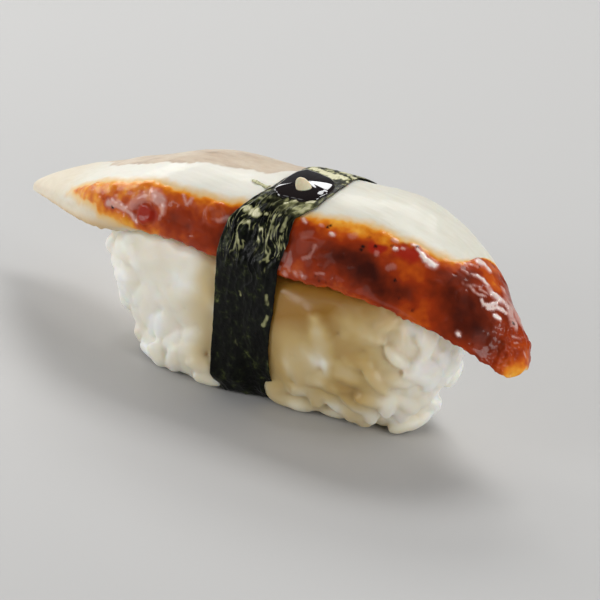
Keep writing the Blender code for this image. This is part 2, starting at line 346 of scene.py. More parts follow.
# rings crowd together towards the ends; points spread evenly round the skin, with
# twice as many on the top and the near side as beneath
CROWDING = 0.06
steps = np.linspace(CROWDING, 1 - CROWDING, SLICE_RINGS)
places = 0.5 - 0.5 * np.cos(np.pi * steps) / math.cos(math.pi * CROWDING)
places = SLICE_START + (SLICE_END - SLICE_START) * places
fine_turns = np.linspace(-90, 270, 7201)
outline = round_section(4.0, np.radians(fine_turns))
walk = np.linalg.norm(np.diff(outline, axis=0), axis=1)
walk = walk * np.where((fine_turns[1:] > 40) & (fine_turns[1:] < 232), 2.0, 1.0)
walked = np.concatenate([[0], np.cumsum(walk)])
turns = np.interp(np.arange(SLICE_POINTS) / SLICE_POINTS * walked[-1], walked, fine_turns)
skin = np.array([round_section(place, np.radians(turns)) for place in places])
# both ends are rounded off over the last millimetre or two
for ring, place in zip(skin, places):
    rounding = max((place - SLICE_END) / 1.6 + 1, (SLICE_START - place) / 1.2 + 1, 0)
    ring[:, 1:] += (ring[:, 1:].mean(axis=0) - ring[:, 1:]) * (1 - math.sqrt(1 - 0.96 * rounding**2))

# distance in mm, measured round the section, inside the glazed and the skin-side areas
glaze = np.zeros(skin.shape[:2])
skin_side = np.zeros(skin.shape[:2])
for i, place in enumerate(places):
    step = np.linalg.norm(np.diff(skin[i], axis=0), axis=1)
    run = np.concatenate([[0], np.cumsum(step)])
    top = np.interp(place, GLAZE_EDGES[:, 0], GLAZE_EDGES[:, 1])
    foot = np.interp(place, GLAZE_EDGES[:, 0], GLAZE_EDGES[:, 2])
    border = np.interp(place, SKIN_EDGES[:, 0], SKIN_EDGES[:, 1])
    top_run, foot_run, skin_run = np.interp((top, foot, border), turns, run)
    glaze[i] = np.minimum(run - top_run, foot_run - run)
    teeth = 0.5 + 0.35 * math.sin(place * 0.61) + 0.25 * math.sin(place * 1.7)
    scallop = 0.6 * teeth * abs(math.sin(math.pi * place / 1.7)) + 0.25 * math.sin(place * 0.9)
    skin_side[i] = skin_run + scallop - run
glaze = np.minimum(glaze, (places[:, None] - GLAZE_START) * 0.8)

flat = skin.reshape(-1, 3)
normals = grid_normals(skin).reshape(-1, 3)
glazed = glaze.ravel() + 0.55 * wander(flat, 2.2, 1) + 0.3 * wander(flat, 0.8, 2)
crust = smooth(-0.1, 0.9, glazed)
place_of = flat[:, 0]

# under the nori the slice is pressed smooth
calm = 0.15 + 0.85 * smooth(5.5, 8.5, np.abs(place_of - 0.9 - 0.07 * flat[:, 1]))

# crust: a brushed-on lacquer lies in soft swells, with a few blisters and pores, and
# the blunt end is pitted where the grill has dried it
swells = 0.30 * wander(flat, 6.0, 3) + 0.16 * wander(flat, 2.7, 4)
rough_left = 1 + 1.2 * smooth(-14, -22, place_of)
blisters = np.maximum(wander(flat, 1.8, 5) - 0.2, 0) * 0.26 * rough_left
pores = np.maximum(wander(flat, 0.8, 6) - 0.5, 0) * 0.4
at_blunt_end = smooth(38.5, 42.5, place_of)
pits = (0.30 * wander(flat, 1.3, 7) + 0.26 * wander(flat, 0.6, 28)) * at_blunt_end
crust_relief = 0.15 + swells + blisters - pores - pits
# painted highlights along the runs of lacquer, which are also raised a little
painted_highlight = np.zeros(len(flat))
ragged_run = 0.4 * wander(flat, 1.0, 15) + 0.3 * wander(flat, 0.5, 30)
for path, half_widths, pale in PAINTED_HIGHLIGHT_RUNS:
    run_walk = off_path(flat, path, half_widths) / 0.9 + ragged_run
    painted_highlight = np.maximum(painted_highlight, pale * smooth(1.5, 0.6, run_walk))
    crust_relief += 0.25 * np.mean(half_widths) * pale * np.exp(-run_walk**2)
ruby = np.zeros(len(flat))
for middle, radius in RED_SPOTS:
    edge_walk = np.linalg.norm((flat - middle) * (0.7, 1, 1.2), axis=1) + 0.9 * wander(flat, 1.6, 16)
    ruby = np.maximum(ruby, smooth(1.3, 0.5, edge_walk / radius))
burst = np.linalg.norm(flat - BURST_BLISTER, axis=1) + 0.2 * wander(flat, 1.0, 20)
painted_highlight *= smooth(1.5, 1.9, burst)
crust_relief += 0.25 * smooth(1.9, 1.5, burst) - 0.22 * np.exp(-((burst - 1.8) / 0.35) ** 2)
ring_walk = np.linalg.norm(flat - RING_BLISTER, axis=1)
crust_relief += 0.35 * np.exp(-((ring_walk - 1.5) / 0.4) ** 2)

# flesh: low swells, long fibres and the faint steps between the muscle flakes
stretched = flat * (0.16, 1.0, 1.0)
fibres = 0.018 * wander(stretched, 0.55, 8) + 0.035 * wander(stretched, 1.3, 9)
flake_walk = place_of + 0.55 * np.abs(flat[:, 1] + 1.5) + 1.6 * wander(flat, 7.0, 10)
flakes = 0.025 * np.sin(flake_walk * 2 * math.pi / 5.2)
skin_wrinkles = 0.06 * wander(flat * (1.6, 0.6, 1), 1.0, 11)
on_skin = smooth(-0.2, 0.5, skin_side.ravel())
flesh_relief = 0.2 * wander(flat, 9.0, 12) + (fibres + flakes) * (1 - on_skin)
flesh_relief += on_skin * (skin_wrinkles - 0.12)

# the lower near edge is crumbly where the knife went through the crust
turn_of = np.tile(turns, SLICE_RINGS)
crumbs = 0.45 * wander(flat, 1.5, 31) + 0.22 * wander(flat, 0.7, 32)
crumbs *= np.exp(-((turn_of - 217) / 11) ** 2)

relief = (crust * crust_relief + (1 - crust) * flesh_relief + crumbs) * calm
ends = smooth(0, 16, place_of - SLICE_START) * smooth(0, 2.0, SLICE_END - place_of)
slice_skin = flat + normals * (relief * ends)[:, None]

slice_faces = tube_faces(SLICE_RINGS, SLICE_POINTS)
slice_faces.append(tuple(range(SLICE_POINTS)))
last_ring = (SLICE_RINGS - 1) * SLICE_POINTS
slice_faces.append(tuple(last_ring + j for j in range(SLICE_POINTS)))

# Grilled eel: moist white flesh that light sinks into, under a lacquer of reduced
# soy and sugar that runs from amber at its thin edge to near black where it charred
eel_surface, tree, shader = new_material("grilled_glazed_eel", {
    "Coat Roughness": 0.06, "Coat IOR": 1.38, "Specular IOR Level": 0.1, "Subsurface Weight": 0.25,
    "Subsurface Radius": (1.0, 0.6, 0.35), "Subsurface Scale": 1.6 * MM})
coords = add_node(tree, "ShaderNodeTexCoord").outputs["Object"]
glaze_note, skin_note, char_note, thick_note, ruby_note, painted_highlight_note, tan_note, left_light_note, dry_note = (
    add_node(tree, "ShaderNodeAttribute", {"attribute_name": note}).outputs["Fac"]
    for note in ("glaze_depth", "skin_depth", "char", "glaze_thickness", "ruby", "painted_highlight",
                 "tan_edge", "left_flesh_painted_light", "dry_end"))

# flesh fibres are drawn 0.9 mm apart, a little coarser than real ones, so that they show
fibre_coords = add_node(tree, "ShaderNodeMapping", None,
                        {"Vector": coords, "Scale": (0.14, 1.0, 1.0)})
fibre = add_node(tree, "ShaderNodeTexNoise", None,
                 {"Vector": fibre_coords.outputs[0], "Scale": 1 / (0.9 * MM), "Detail": 4.0})
flesh_patch = add_node(tree, "ShaderNodeTexNoise", None,
                       {"Vector": coords, "Scale": 1 / (6.0 * MM), "Detail": 3.0})
flesh_tone = add_node(tree, "ShaderNodeValToRGB", None, {"Fac": fibre.outputs["Fac"]})
flesh_tone.color_ramp.elements[0].position = 0.32
flesh_tone.color_ramp.elements[0].color = linear("D6D1C0")
flesh_tone.color_ramp.elements[1].position = 0.58
flesh_tone.color_ramp.elements[1].color = linear("E1DED0")
flesh_mix = add_node(tree, "ShaderNodeMix", {"data_type": "RGBA"},
                     {"Factor": flesh_patch.outputs["Fac"], 6: flesh_tone.outputs[0],
                      7: linear("DFDCCE")})
skin_coords = add_node(tree, "ShaderNodeMapping", None,
                       {"Vector": coords, "Scale": (0.45, 1.0, 1.0)})
skin_streak = add_node(tree, "ShaderNodeTexNoise", None,
                       {"Vector": skin_coords.outputs[0], "Scale": 1 / (3.0 * MM), "Detail": 6.0,
                        "Roughness": 0.62})
skin_tone = add_node(tree, "ShaderNodeValToRGB", None, {"Fac": skin_streak.outputs["Fac"]})
skin_tone.color_ramp.elements[0].position = 0.3
skin_tone.color_ramp.elements[0].color = linear("B29D8A")
skin_tone.color_ramp.elements[1].position = 0.66
skin_tone.color_ramp.elements[1].color = linear("D7C8B3")
skin_tone.color_ramp.elements.new(0.45).color = linear("C9B6A0")
skin_mask = add_node(tree, "ShaderNodeMapRange", {"interpolation_type": "SMOOTHSTEP"},
                     {0: skin_note, 1: -0.4, 2: 0.5})
stain = add_node(tree, "ShaderNodeMapRange", {"interpolation_type": "SMOOTHSTEP"},
                 {0: glaze_note, 1: -1.7, 2: 0.1, 4: 0.8})
# over the flesh, one on another: skin, a tan tone along the lower near edge and over the
# pointed end, painted light that makes the flesh left of the band whiter, and glaze that soaked in beside
# the crust
pale = flesh_mix.outputs[2]
for share, colour in ((skin_mask.outputs[0], skin_tone.outputs[0]), (tan_note, linear("CFAE7E")),
                      (left_light_note, linear("EDEAE0")), (stain.outputs[0], linear("E3B566"))):
    pale = add_node(tree, "ShaderNodeMix", {"data_type": "RGBA"},
                    {"Factor": share, 6: pale, 7: colour}).outputs[2]

# glaze colour by how thick it lies, stirred by fine mottling
mottle = add_node(tree, "ShaderNodeTexNoise", None,
                  {"Vector": coords, "Scale": 1 / (1.6 * MM), "Detail": 4.0, "Roughness": 0.6})
mottle_push = add_node(tree, "ShaderNodeMath", {"operation": "MULTIPLY_ADD"},
                       {0: mottle.outputs["Fac"], 1: 0.20, 2: -0.10})
depth_share = add_node(tree, "ShaderNodeMath", {"operation": "ADD", "use_clamp": True},
                       {0: thick_note, 1: mottle_push.outputs[0]})
glaze_tone = add_node(tree, "ShaderNodeValToRGB", None, {"Fac": depth_share.outputs[0]})
glaze_tone.color_ramp.elements[0].color = linear("EBA63A")
glaze_tone.color_ramp.elements[1].color = linear("3C1006")
for place, code in ((0.10, "DE821A"), (0.22, "C05210"), (0.40, "99320B"), (0.60, "7C270A"),
                    (0.8, "5A1B08")):
    glaze_tone.color_ramp.elements.new(place).color = linear(code)
# painted highlight: pale pink along the runs, near white where they are brightest
painted_highlight_share = add_node(tree, "ShaderNodeMath", {"operation": "MULTIPLY", "use_clamp": True},
                   {0: painted_highlight_note, 1: 0.46})
brightest_highlight = add_node(tree, "ShaderNodeMapRange", None, {0: painted_highlight_note, 1: 1.0, 2: 2.0})
painted_highlight_tone = add_node(tree, "ShaderNodeMix", {"data_type": "RGBA"},
                      {"Factor": brightest_highlight.outputs[0], 6: linear("D8A296"), 7: linear("F6E8E2")})
# over the glaze: red under the clear spots, the painted highlights of the runs and the char
browned = glaze_tone.outputs[0]
for share, colour in ((ruby_note, linear("9E2410")), (painted_highlight_share.outputs[0], painted_highlight_tone.outputs[2]),
                      (char_note, linear("1C0D0A"))):
    browned = add_node(tree, "ShaderNodeMix", {"data_type": "RGBA"},
                       {"Factor": share, 6: browned, 7: colour}).outputs[2]
glaze_mask = add_node(tree, "ShaderNodeMapRange", {"interpolation_type": "SMOOTHSTEP"},
                      {0: glaze_note, 1: -0.25, 2: 0.45})
eel_colour = add_node(tree, "ShaderNodeMix", {"data_type": "RGBA"},
                      {"Factor": glaze_mask.outputs[0], 6: pale, 7: browned})
tree.links.new(eel_colour.outputs[2], shader.inputs["Base Color"])
eel_rough = add_node(tree, "ShaderNodeMapRange", None,
                     {0: glaze_mask.outputs[0], 3: 0.42, 4: 0.36})
tree.links.new(eel_rough.outputs[0], shader.inputs["Roughness"])
# the lacquer is wettest on the runs that carry the painted highlights, drier at the blunt end, and thin on
# the flesh
lacquer = add_node(tree, "ShaderNodeMapRange", None, {0: dry_note, 3: 0.34, 4: 0.20})
wet = add_node(tree, "ShaderNodeMapRange", None,
               {0: glaze_mask.outputs[0], 3: 0.15, 4: lacquer.outputs[0]})
run_share = add_node(tree, "ShaderNodeMath", {"operation": "MULTIPLY", "use_clamp": True},
                     {0: painted_highlight_note, 1: 0.4})
wettest = add_node(tree, "ShaderNodeMath", {"operation": "ADD", "use_clamp": True},
                   {0: wet.outputs[0], 1: run_share.outputs[0]})
tree.links.new(wettest.outputs[0], shader.inputs["Coat Weight"])
grit = add_node(tree, "ShaderNodeTexNoise", None,
                {"Vector": coords, "Scale": 1 / (0.6 * MM), "Detail": 3.0})
eel_bump = add_node(tree, "ShaderNodeBump", None,
                    {"Height": grit.outputs["Fac"], "Strength": 0.10, "Distance": 0.2 * MM})
tree.links.new(eel_bump.outputs[0], shader.inputs["Normal"])

# thickness of the glaze, from 0 for a bare wash to 1, and its amber edge, in mm
thickness = 0.45 * np.minimum(glazed, 7) + 2.5 + 1.2 * wander(flat, 5.0, 17) + 1.4 * wander(flat, 2.0, 18)
thickness += 0.8 * wander(flat, 0.9, 27) - 1.3 * smooth(-4, -10, place_of)
for sign, patches in ((1, DARK_PATCHES), (-1, LIGHT_PATCHES)):
    for x, y, z, radius, push in patches:
        thickness += sign * push * np.exp(-np.sum((flat - (x, y, z)) ** 2, axis=1) / radius**2)
thickness = np.clip((thickness + 0.5) / 10, 0, 1)
edge_width = 4.2 + 1.8 * smooth(-14, -20, place_of) - 2.2 * smooth(-26, -33, place_of)
edge_width += 1.8 * smooth(8, 12, place_of) * smooth(26, 20, place_of)
thickness = np.minimum(thickness, smooth(-0.4, edge_width, glazed))
tan_edge = smooth(168, 200, turn_of) * smooth(-20, -30, place_of) * smooth(-56, -50, place_of) * 0.9
tan_edge = np.maximum(tan_edge, 0.3 * smooth(-36, -46, place_of))
specks = np.zeros(len(flat))
for x, y, z, radius in CHAR_SPECKS:
    speck_walk = np.linalg.norm(flat - (x, y, z), axis=1) + 0.15 * wander(flat, 0.6, 29)
    specks = np.maximum(specks, smooth(1.4, 0.7, speck_walk / radius))
char = smooth(0.52, 0.66, wander(flat, 0.9, 14)) * smooth(0.8, 2.0, glazed)
char = np.maximum(char * smooth(0.0, 0.3, wander(flat, 9, 19)), specks)
# painted light: the flesh left of the band is painted whiter, as if more light fell there
left_flesh_painted_light = 0.45 * smooth(2, -6, place_of) * smooth(-40, -28, place_of)
left_flesh_painted_light *= (1 - on_skin) * smooth(150, 130, turn_of)
slice_frame = slice_skin + (*SLICE_ZERO, 0)
eel = make_piece("glazed_eel_slice", slice_frame, slice_faces, eel_surface,
                 {"glaze_depth": glazed, "skin_depth": skin_side.ravel(), "char": char,
                  "glaze_thickness": thickness, "ruby": ruby, "painted_highlight": painted_highlight,
                  "tan_edge": tan_edge, "left_flesh_painted_light": left_flesh_painted_light,
                  "dry_end": smooth(39.5, 42.0, place_of)})
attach(eel, "root")
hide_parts("eel_slice")

# ---------------------------------------------------------------------------
# Rice.  Short-grain rice, boiled, dressed with vinegar and pressed by hand under
# the slice.  The grains stick together, so a core of packed rice carries one
# layer of whole grains that lie in it to about half their thickness.
# ---------------------------------------------------------------------------

RICE_HALF_LENGTH = 31.2
RICE_HALF_WIDTH = 12.8
RICE_HEIGHT = 27.0
RICE_MIDDLE = (5.0, -0.415)
# how square the block is: 2 would be round, more is squarer
RICE_PLAN_SQUARENESS = 3.1
RICE_SIDE_SQUARENESS = 4.0
# the middle of the block lies at this share of its height
RICE_WAIST = 0.43
CORE_DEPTH = 1.1


def rice_sizes(level, along):
    """Half length and half width of the block at a level and a place along it."""
    low = smooth(0.25, -1.0, level)
    foot = 0.99 - 0.29 * (along + 1) / 2
    return RICE_HALF_LENGTH * (1 - 0.14 * low), RICE_HALF_WIDTH * (1 - (1 - foot) * low)


def rice_skin(directions):
    """The smooth skin of the pressed block in given directions from its middle."""
    x, y, z = np.abs(directions).T
    p, q = RICE_PLAN_SQUARENESS, RICE_SIDE_SQUARENESS
    size = ((x**p + y**p) ** (q / p) + z**q) ** (-1 / q)
    reach = directions * size[:, None]
    length, width = rice_sizes(reach[:, 2], reach[:, 0])
    return np.stack([RICE_MIDDLE[0] + reach[:, 0] * length,
                     RICE_MIDDLE[1] + reach[:, 1] * width,
                     RICE_HEIGHT * (RICE_WAIST + (1 - RICE_WAIST) * reach[:, 2])], axis=-1)


def rice_fill(points):
    """1 on the skin of the block and less inside it."""
    level = (points[:, 2] / RICE_HEIGHT - RICE_WAIST) / (1 - RICE_WAIST)
    low_level = np.clip(level, -1.2, 1.2)
    along = (points[:, 0] - RICE_MIDDLE[0]) / rice_sizes(low_level, np.zeros(1))[0]
    width = rice_sizes(low_level, np.clip(along, -1, 1))[1]
    across = np.abs(points[:, 1] - RICE_MIDDLE[1]) / width
    p, q = RICE_PLAN_SQUARENESS, RICE_SIDE_SQUARENESS
    return ((np.abs(along) ** p + across**p) ** (q / p) + np.abs(level) ** q) ** (1 / q)


def rice_slope(points):
    """Steepest rise of the fill, which points straight out of the block."""
    rises = []
    for axis in np.eye(3) * 0.2:
        rises.append((rice_fill(points + axis) - rice_fill(points - axis)) / 0.4)
    return np.stack(rises, axis=-1)


def depth_in_rice(points):
    """Depth under the skin of the block in mm, and the way out."""
    slope = rice_slope(points)
    steep = np.maximum(np.linalg.norm(slope, axis=1), 1e-4)
    return (1 - rice_fill(points)) / steep, slope / steep[:, None]


def band_line(x, y):
    """The band lies a little askew: its far side sits nearer the blunt end."""
    return SLICE_ZERO[0] + x + 0.9 + 0.9 * (y - SLICE_ZERO[1]) / RICE_HALF_WIDTH


def beside_band(points):
    """Distance in mm from the middle line of the nori band."""
    return np.abs(points[:, 0] - band_line(0.0, points[:, 1]))


# core of packed rice: the block drawn in by part of a grain, with a relief of
# broken grains and starch finer than the grains on it
ball = bmesh.new()
bmesh.ops.create_icosphere(ball, subdivisions=6, radius=1.0)
core_ways = np.array([v.co.normalized()[:] for v in ball.verts])
core_faces = [tuple(v.index for v in f.verts) for f in ball.faces]
ball.free()
core = rice_skin(core_ways)
_, way_out = depth_in_rice(core)
lumps = np.array([noise.voronoi(Vector(p) / 2.6)[0][0] for p in core * (1, 1.2, 1.2)])
drawn_in = CORE_DEPTH + 0.9 * (lumps - 0.35) + 0.35 * smooth(8.0, 6.0, beside_band(core))
core = core - way_out * drawn_in[:, None]
ceiling = slice_underside(core[:, 0], core[:, 1]) - 0.9
core[:, 2] = np.clip(np.minimum(core[:, 2], ceiling), 0.25, None)

# Boiled rice, pearl white and translucent: light sinks a few millimetres in and the
# starch on it shines softly; sauce that ran down has tinted it beside the band, and warm shade under the
# slice is painted into the same tint
rice_surface, tree, shader = new_material("boiled_rice", {
    "Roughness": 0.34, "IOR": 1.4, "Subsurface Weight": 0.9, "Subsurface Radius": (1.0, 0.80, 0.58),
    "Subsurface Scale": 2.6 * MM})
coords = add_node(tree, "ShaderNodeTexCoord").outputs["Object"]
tone_note = add_node(tree, "ShaderNodeAttribute", {"attribute_name": "whiteness"})
tint_note = add_node(tree, "ShaderNodeAttribute", {"attribute_name": "sauce_stain_and_shade"})
grain_colour = add_node(tree, "ShaderNodeMix", {"data_type": "RGBA"},
                        {"Factor": tone_note.outputs["Fac"], 6: linear("EAE3D0"),
                         7: linear("FDFAF2")})
tint_tone = add_node(tree, "ShaderNodeValToRGB", None, {"Fac": tint_note.outputs["Fac"]})
tint_tone.color_ramp.elements[0].color = linear("E8DEC0")
tint_tone.color_ramp.elements[1].color = linear("A67A30")
tint_tone.color_ramp.elements.new(0.6).color = linear("CDB278")
tint_share = add_node(tree, "ShaderNodeMapRange", {"interpolation_type": "SMOOTHSTEP"},
                      {0: tint_note.outputs["Fac"], 1: 0.0, 2: 0.35})
tinted = add_node(tree, "ShaderNodeMix", {"data_type": "RGBA"},
                  {"Factor": tint_share.outputs[0], 6: grain_colour.outputs[2],
                   7: tint_tone.outputs[0]})
tree.links.new(tinted.outputs[2], shader.inputs["Base Color"])
# starch film: relief of about half a millimetre
starch = add_node(tree, "ShaderNodeTexNoise", None,
                  {"Vector": coords, "Scale": 1 / (0.7 * MM), "Detail": 3.0})
rice_bump = add_node(tree, "ShaderNodeBump", None,
                     {"Height": starch.outputs["Fac"], "Strength": 0.12, "Distance": 0.2 * MM})
tree.links.new(rice_bump.outputs[0], shader.inputs["Normal"])


def sauce_stain_and_shade(points):
    """How far the rice is stained by soy that ran down and tinted by painted shade: most at the right of
    the band, under the slice.
    """
    right = points[:, 0] - band_line(0.0, points[:, 1])
    # painted shade: the tint is deepest high up, under the slice
    high = smooth(13, 22, points[:, 2])
    on_right = 0.66 * smooth(32, 19, right) + (0.08 + 0.44 * high) * smooth(26, 7, right)
    beside = np.where(right > 0, on_right, 0.4 * smooth(-16, -5, right))
    near = smooth(7, -6, points[:, 1])
    rim = 0.45 + 0.55 * smooth(1, 8, points[:, 2])
    thin = 1 - 0.4 * np.exp(-((right - 11) / 4.5) ** 2 - ((points[:, 2] - 11) / 6) ** 2)
    return np.clip(beside * near * rim * thin * (1.0 + 0.14 * wander(points, 5.0, 21)), 0, 1)


# whole grains, about 6 mm by 2.9 mm by 2.4 mm when boiled
GRAIN_HALF_LENGTH = 2.8
GRAIN_HALF_WIDTH = 1.35
GRAIN_HALF_THICKNESS = 1.2
GRAIN_SPACING = 2.45
# while it settles, a grain is three balls of this radius, so far apart
BALL = 1.2
BALL_REACH = 1.5

# a first place for each grain, well apart on the skin of the block
draw = np.random.default_rng(7)
TRIES = 14000
ways = draw.normal(size=(TRIES, 3)) * (1.9, 1.0, 1.0)
ways /= np.linalg.norm(ways, axis=1)[:, None]
spots = rice_skin(ways)
spots = spots[spots[:, 2] > 0.4]
under_slice = slice_underside(spots[:, 0], spots[:, 1])
spots = spots[spots[:, 2] < under_slice + 1.5]
kept = []
for spot in spots:
    if not kept or np.min(np.sum((np.array(kept) - spot) ** 2, axis=1)) > GRAIN_SPACING**2:
        kept.append(spot)
centres = np.array(kept)
_, way_out = depth_in_rice(centres)
axes = np.cross(way_out, draw.normal(size=centres.shape))
axes /= np.linalg.norm(axes, axis=1)[:, None]
# grains stand out most along the foot and at both ends, and a few at the left end
from_middle = np.abs(centres[:, 0] - RICE_MIDDLE[0])
rugged = np.maximum(smooth(18, 29, from_middle), smooth(7, 3, centres[:, 2]))
proud = np.clip(draw.normal(0.0, 1.0, len(centres)), -1.2, 1.6) * (0.2 + 0.5 * rugged) + 0.2 * rugged
for spot in ((-26.0, -3.5, 15.0), (-26.2, -3.5, 10.6), (-25.0, -4.0, 6.6)):
    proud += 1.3 * np.exp(-np.sum((centres - spot) ** 2, axis=1) / 5.0)

# grains, as three balls in a row each, push one another apart and settle in the skin
offsets = np.array((-BALL_REACH, 0.0, BALL_REACH))
owner = np.repeat(np.arange(len(centres)), 3)
SETTLING_ROUNDS = 45
PACKING = 0.86
for _ in range(SETTLING_ROUNDS):
    balls = (centres[:, None] + axes[:, None] * offsets[:, None]).reshape(-1, 3)
    gaps = balls[:, None] - balls[None]
    apart = np.sqrt(np.sum(gaps**2, axis=2)) + np.eye(len(balls)) * 99
    apart[owner[:, None] == owner[None]] = 99
    overlap = np.clip(2 * BALL * PACKING - apart, 0, None)
    push = np.sum(gaps * (overlap / apart)[:, :, None], axis=1) * 0.32
    depth, way_out = depth_in_rice(balls)
    want = BALL - np.repeat(proud, 3) + 0.7 * smooth(8.5, 6.5, beside_band(balls))
    push += way_out * np.clip(depth - want, -1.5, 1.5)[:, None] * 0.45
    push[:, 2] += np.clip(BALL * 0.8 - balls[:, 2], 0, None)
    roof = slice_underside(balls[:, 0], balls[:, 1]) - BALL - 0.2
    push[:, 2] -= np.clip(balls[:, 2] - roof, 0, None) * 0.6
    push = push.reshape(-1, 3, 3)
    centres = centres + push.mean(axis=1)
    axes = axes + (push[:, 2] - push[:, 0]) / (2 * BALL_REACH) * 0.7
    axes /= np.linalg.norm(axes, axis=1)[:, None]
hidden = centres[:, 2] > slice_underside(centres[:, 0], centres[:, 1]) - 0.3
centres, axes = centres[~hidden], axes[~hidden]


def foot_shift(points):
    """The rice is drawn in at its left end, under the slice and at the foot, and right of the
    band, and spreads a little left of the band: shift in mm to the right and the far side."""
    x, y, z = points.T
    drawn_in = (2.4 * smooth(7, 12, x) + 2.4 * np.exp(-((x - 9.4) / 2.4) ** 2)) * smooth(8.0, 0.5, z)
    spread = 2.0 * smooth(-21, -11, x) * smooth(5, 1, x) * smooth(6.0, 0.5, z)
    corner = 0.8 * smooth(-6, -18, x) * smooth(9, 3, z)
    shoulder = 0.9 * smooth(-19, -25, x) * smooth(15, 20, z)
    shift = np.stack([corner + shoulder, drawn_in - spread + 1.2 * corner], axis=-1)
    return shift * smooth(2, -8, y)[:, None]


core[:, :2] += foot_shift(core)
centres[:, :2] += foot_shift(centres)
# four grains have spread from under the foot of the band
spread_grains = np.array(((11.4, -8.9, 1.3), (14.9, -8.2, 1.25), (10.9, -9.6, 3.6), (-1.0, -12.0, 1.2)))
centres = np.concatenate([centres, spread_grains])
axes = np.concatenate([axes, ((0.98, 0.18, -0.05), (0.86, 0.5, 0.1), (0.9, 0.2, 0.35), (0.9, 0.3, -0.1))])
axes /= np.linalg.norm(axes, axis=1)[:, None]


def grain(centre, axis, rings, sides, seed):
    """One grain: plump, a little bent, with a shallow groove along its belly."""
    _, out = depth_in_rice(centre[None])
    side = np.cross(out[0], axis)
    side /= np.linalg.norm(side)
    out = np.cross(axis, side)
    size = draw.uniform(0.86, 1.1, 3)
    bend = draw.uniform(-0.35, 0.35)
    blunt = draw.uniform(0.0, 0.16)
    roll = draw.uniform(-0.5, 0.5)
    side, out = (side * math.cos(roll) + out * math.sin(roll),
                 out * math.cos(roll) - side * math.sin(roll))
    spin = np.linspace(0, 2 * math.pi, sides, endpoint=False)
    rim = 1 + 0.06 * np.cos(2 * spin) - 0.05 * np.exp(-((spin - 4.7) / 0.4) ** 2)
    points = []
    length, width, thick = size * (GRAIN_HALF_LENGTH, GRAIN_HALF_WIDTH, GRAIN_HALF_THICKNESS)
    ring = side * (np.cos(spin) * rim)[:, None] * width + out * (np.sin(spin) * rim)[:, None] * thick
    for t in -np.cos(np.linspace(0.0, math.pi, rings + 2)[1:-1]):
        girth = (1 - abs(t) ** 2.5) ** 0.5 * (1 + blunt * t)
        points.append(centre + axis * t * length + side * bend * (t * t - 0.4) + ring * girth)
    points = np.concatenate(points)
    points += out * (0.10 * wander(points, 1.6, seed))[:, None]
    reach, bent = axis * length * 0.995, centre + side * bend * 0.6
    points = np.concatenate([points, [bent - reach, bent + reach]])
    faces = tube_faces(rings, sides)
    tip = rings * sides
    for j in range(sides):
        k = (j + 1) % sides
        faces.append((j, tip, k))
        faces.append((tip - sides + j, tip - sides + k, tip + 1))
    return points, faces


def join(parts):
    """Points and faces of several meshes as one."""
    points, faces = [], []
    for part_points, part_faces in parts:
        first = sum(len(p) for p in points)
        points.append(part_points)
        faces.extend(tuple(first + k for k in face) for face in part_faces)
    return np.concatenate(points), faces


GRAIN_RINGS, GRAIN_SIDES = 9, 12
grain_verts, grain_faces = join([grain(centre, axis, GRAIN_RINGS, GRAIN_SIDES, 30 + n * 0.37)
                                 for n, (centre, axis) in enumerate(zip(centres, axes))])
grain_verts[:, 2] = np.maximum(grain_verts[:, 2], 0.0)

# the starch joins grains and core: one skin over them all, in steps of 0.36 mm, which is
# then softened a little
packed_faces = list(core_faces) + [tuple(len(core) + k for k in f) for f in grain_faces]
packed = make_piece("packed", np.concatenate([core, grain_verts]), packed_faces, rice_surface)
melt = packed.modifiers.new("melt", "REMESH")
melt.mode = "VOXEL"
melt.voxel_size = 0.36 * MM
soften = packed.modifiers.new("soften", "SMOOTH")
soften.factor = 0.5
soften.iterations = 3
joined = packed.evaluated_get(bpy.context.evaluated_depsgraph_get()).to_mesh()
rice_points = np.array([v.co[:] for v in joined.vertices]) / MM
rice_faces = [tuple(f.vertices) for f in joined.polygons]
rice_edges = np.array([e.vertices[:] for e in joined.edges])
rice_out = np.array([v.normal[:] for v in joined.vertices])
packed.to_mesh_clear()
bpy.data.objects.remove(packed)


def joined_to(start, edges, count):
    """Marks the points that edges join to a start point."""
    beside = [[] for _ in range(count)]
    for a, b in edges.tolist():
        beside[a].append(b)
        beside[b].append(a)
    reached = np.zeros(count, dtype=bool)
    waiting = [start]
    while waiting:
        point = waiting.pop()
        if not reached[point]:
            reached[point] = True
            waiting += beside[point]
    return reached


# bubbles shut in between the grains are dropped: only the outer skin stays
outside = joined_to(int(np.argmax(rice_points[:, 2])), rice_edges, len(rice_points))
new_place = np.cumsum(outside) - 1
rice_points, rice_out = rice_points[outside], rice_out[outside]
rice_faces = [tuple(new_place[list(f)].tolist()) for f in rice_faces if outside[f[0]]]
rice_edges = new_place[rice_edges[outside[rice_edges[:, 0]]]]
edge_count = np.maximum(np.bincount(rice_edges.ravel(), minlength=len(rice_points)), 1)


def relax(points, rounds):
    """Moves each point towards the middle of its neighbours."""
    for _ in range(rounds):
        total = np.zeros_like(points)
        for axis in range(3):
            total[:, axis] = (
                np.bincount(rice_edges[:, 0], points[rice_edges[:, 1], axis], len(points))
                + np.bincount(rice_edges[:, 1], points[rice_edges[:, 0], axis], len(points)))
        points = points * 0.4 + total / edge_count[:, None] * 0.6
    return points


# some grains are chalky white and show through the clear starch
chalky = smooth(0.5, 0.95, draw.uniform(0, 1, len(centres)))
grain_tree = KDTree(len(centres) * 3)
for k, point in enumerate((centres[:, None] + axes[:, None] * offsets[:, None]).reshape(-1, 3)):
    grain_tree.insert(point, k)
grain_tree.balance()
chalk = np.array([chalky[grain_tree.find(point)[1] // 3] for point in rice_points])
chalk = np.clip(relax(np.repeat(chalk[:, None], 3, axis=1), 34)[:, 0] * 1.3, 0, 1)
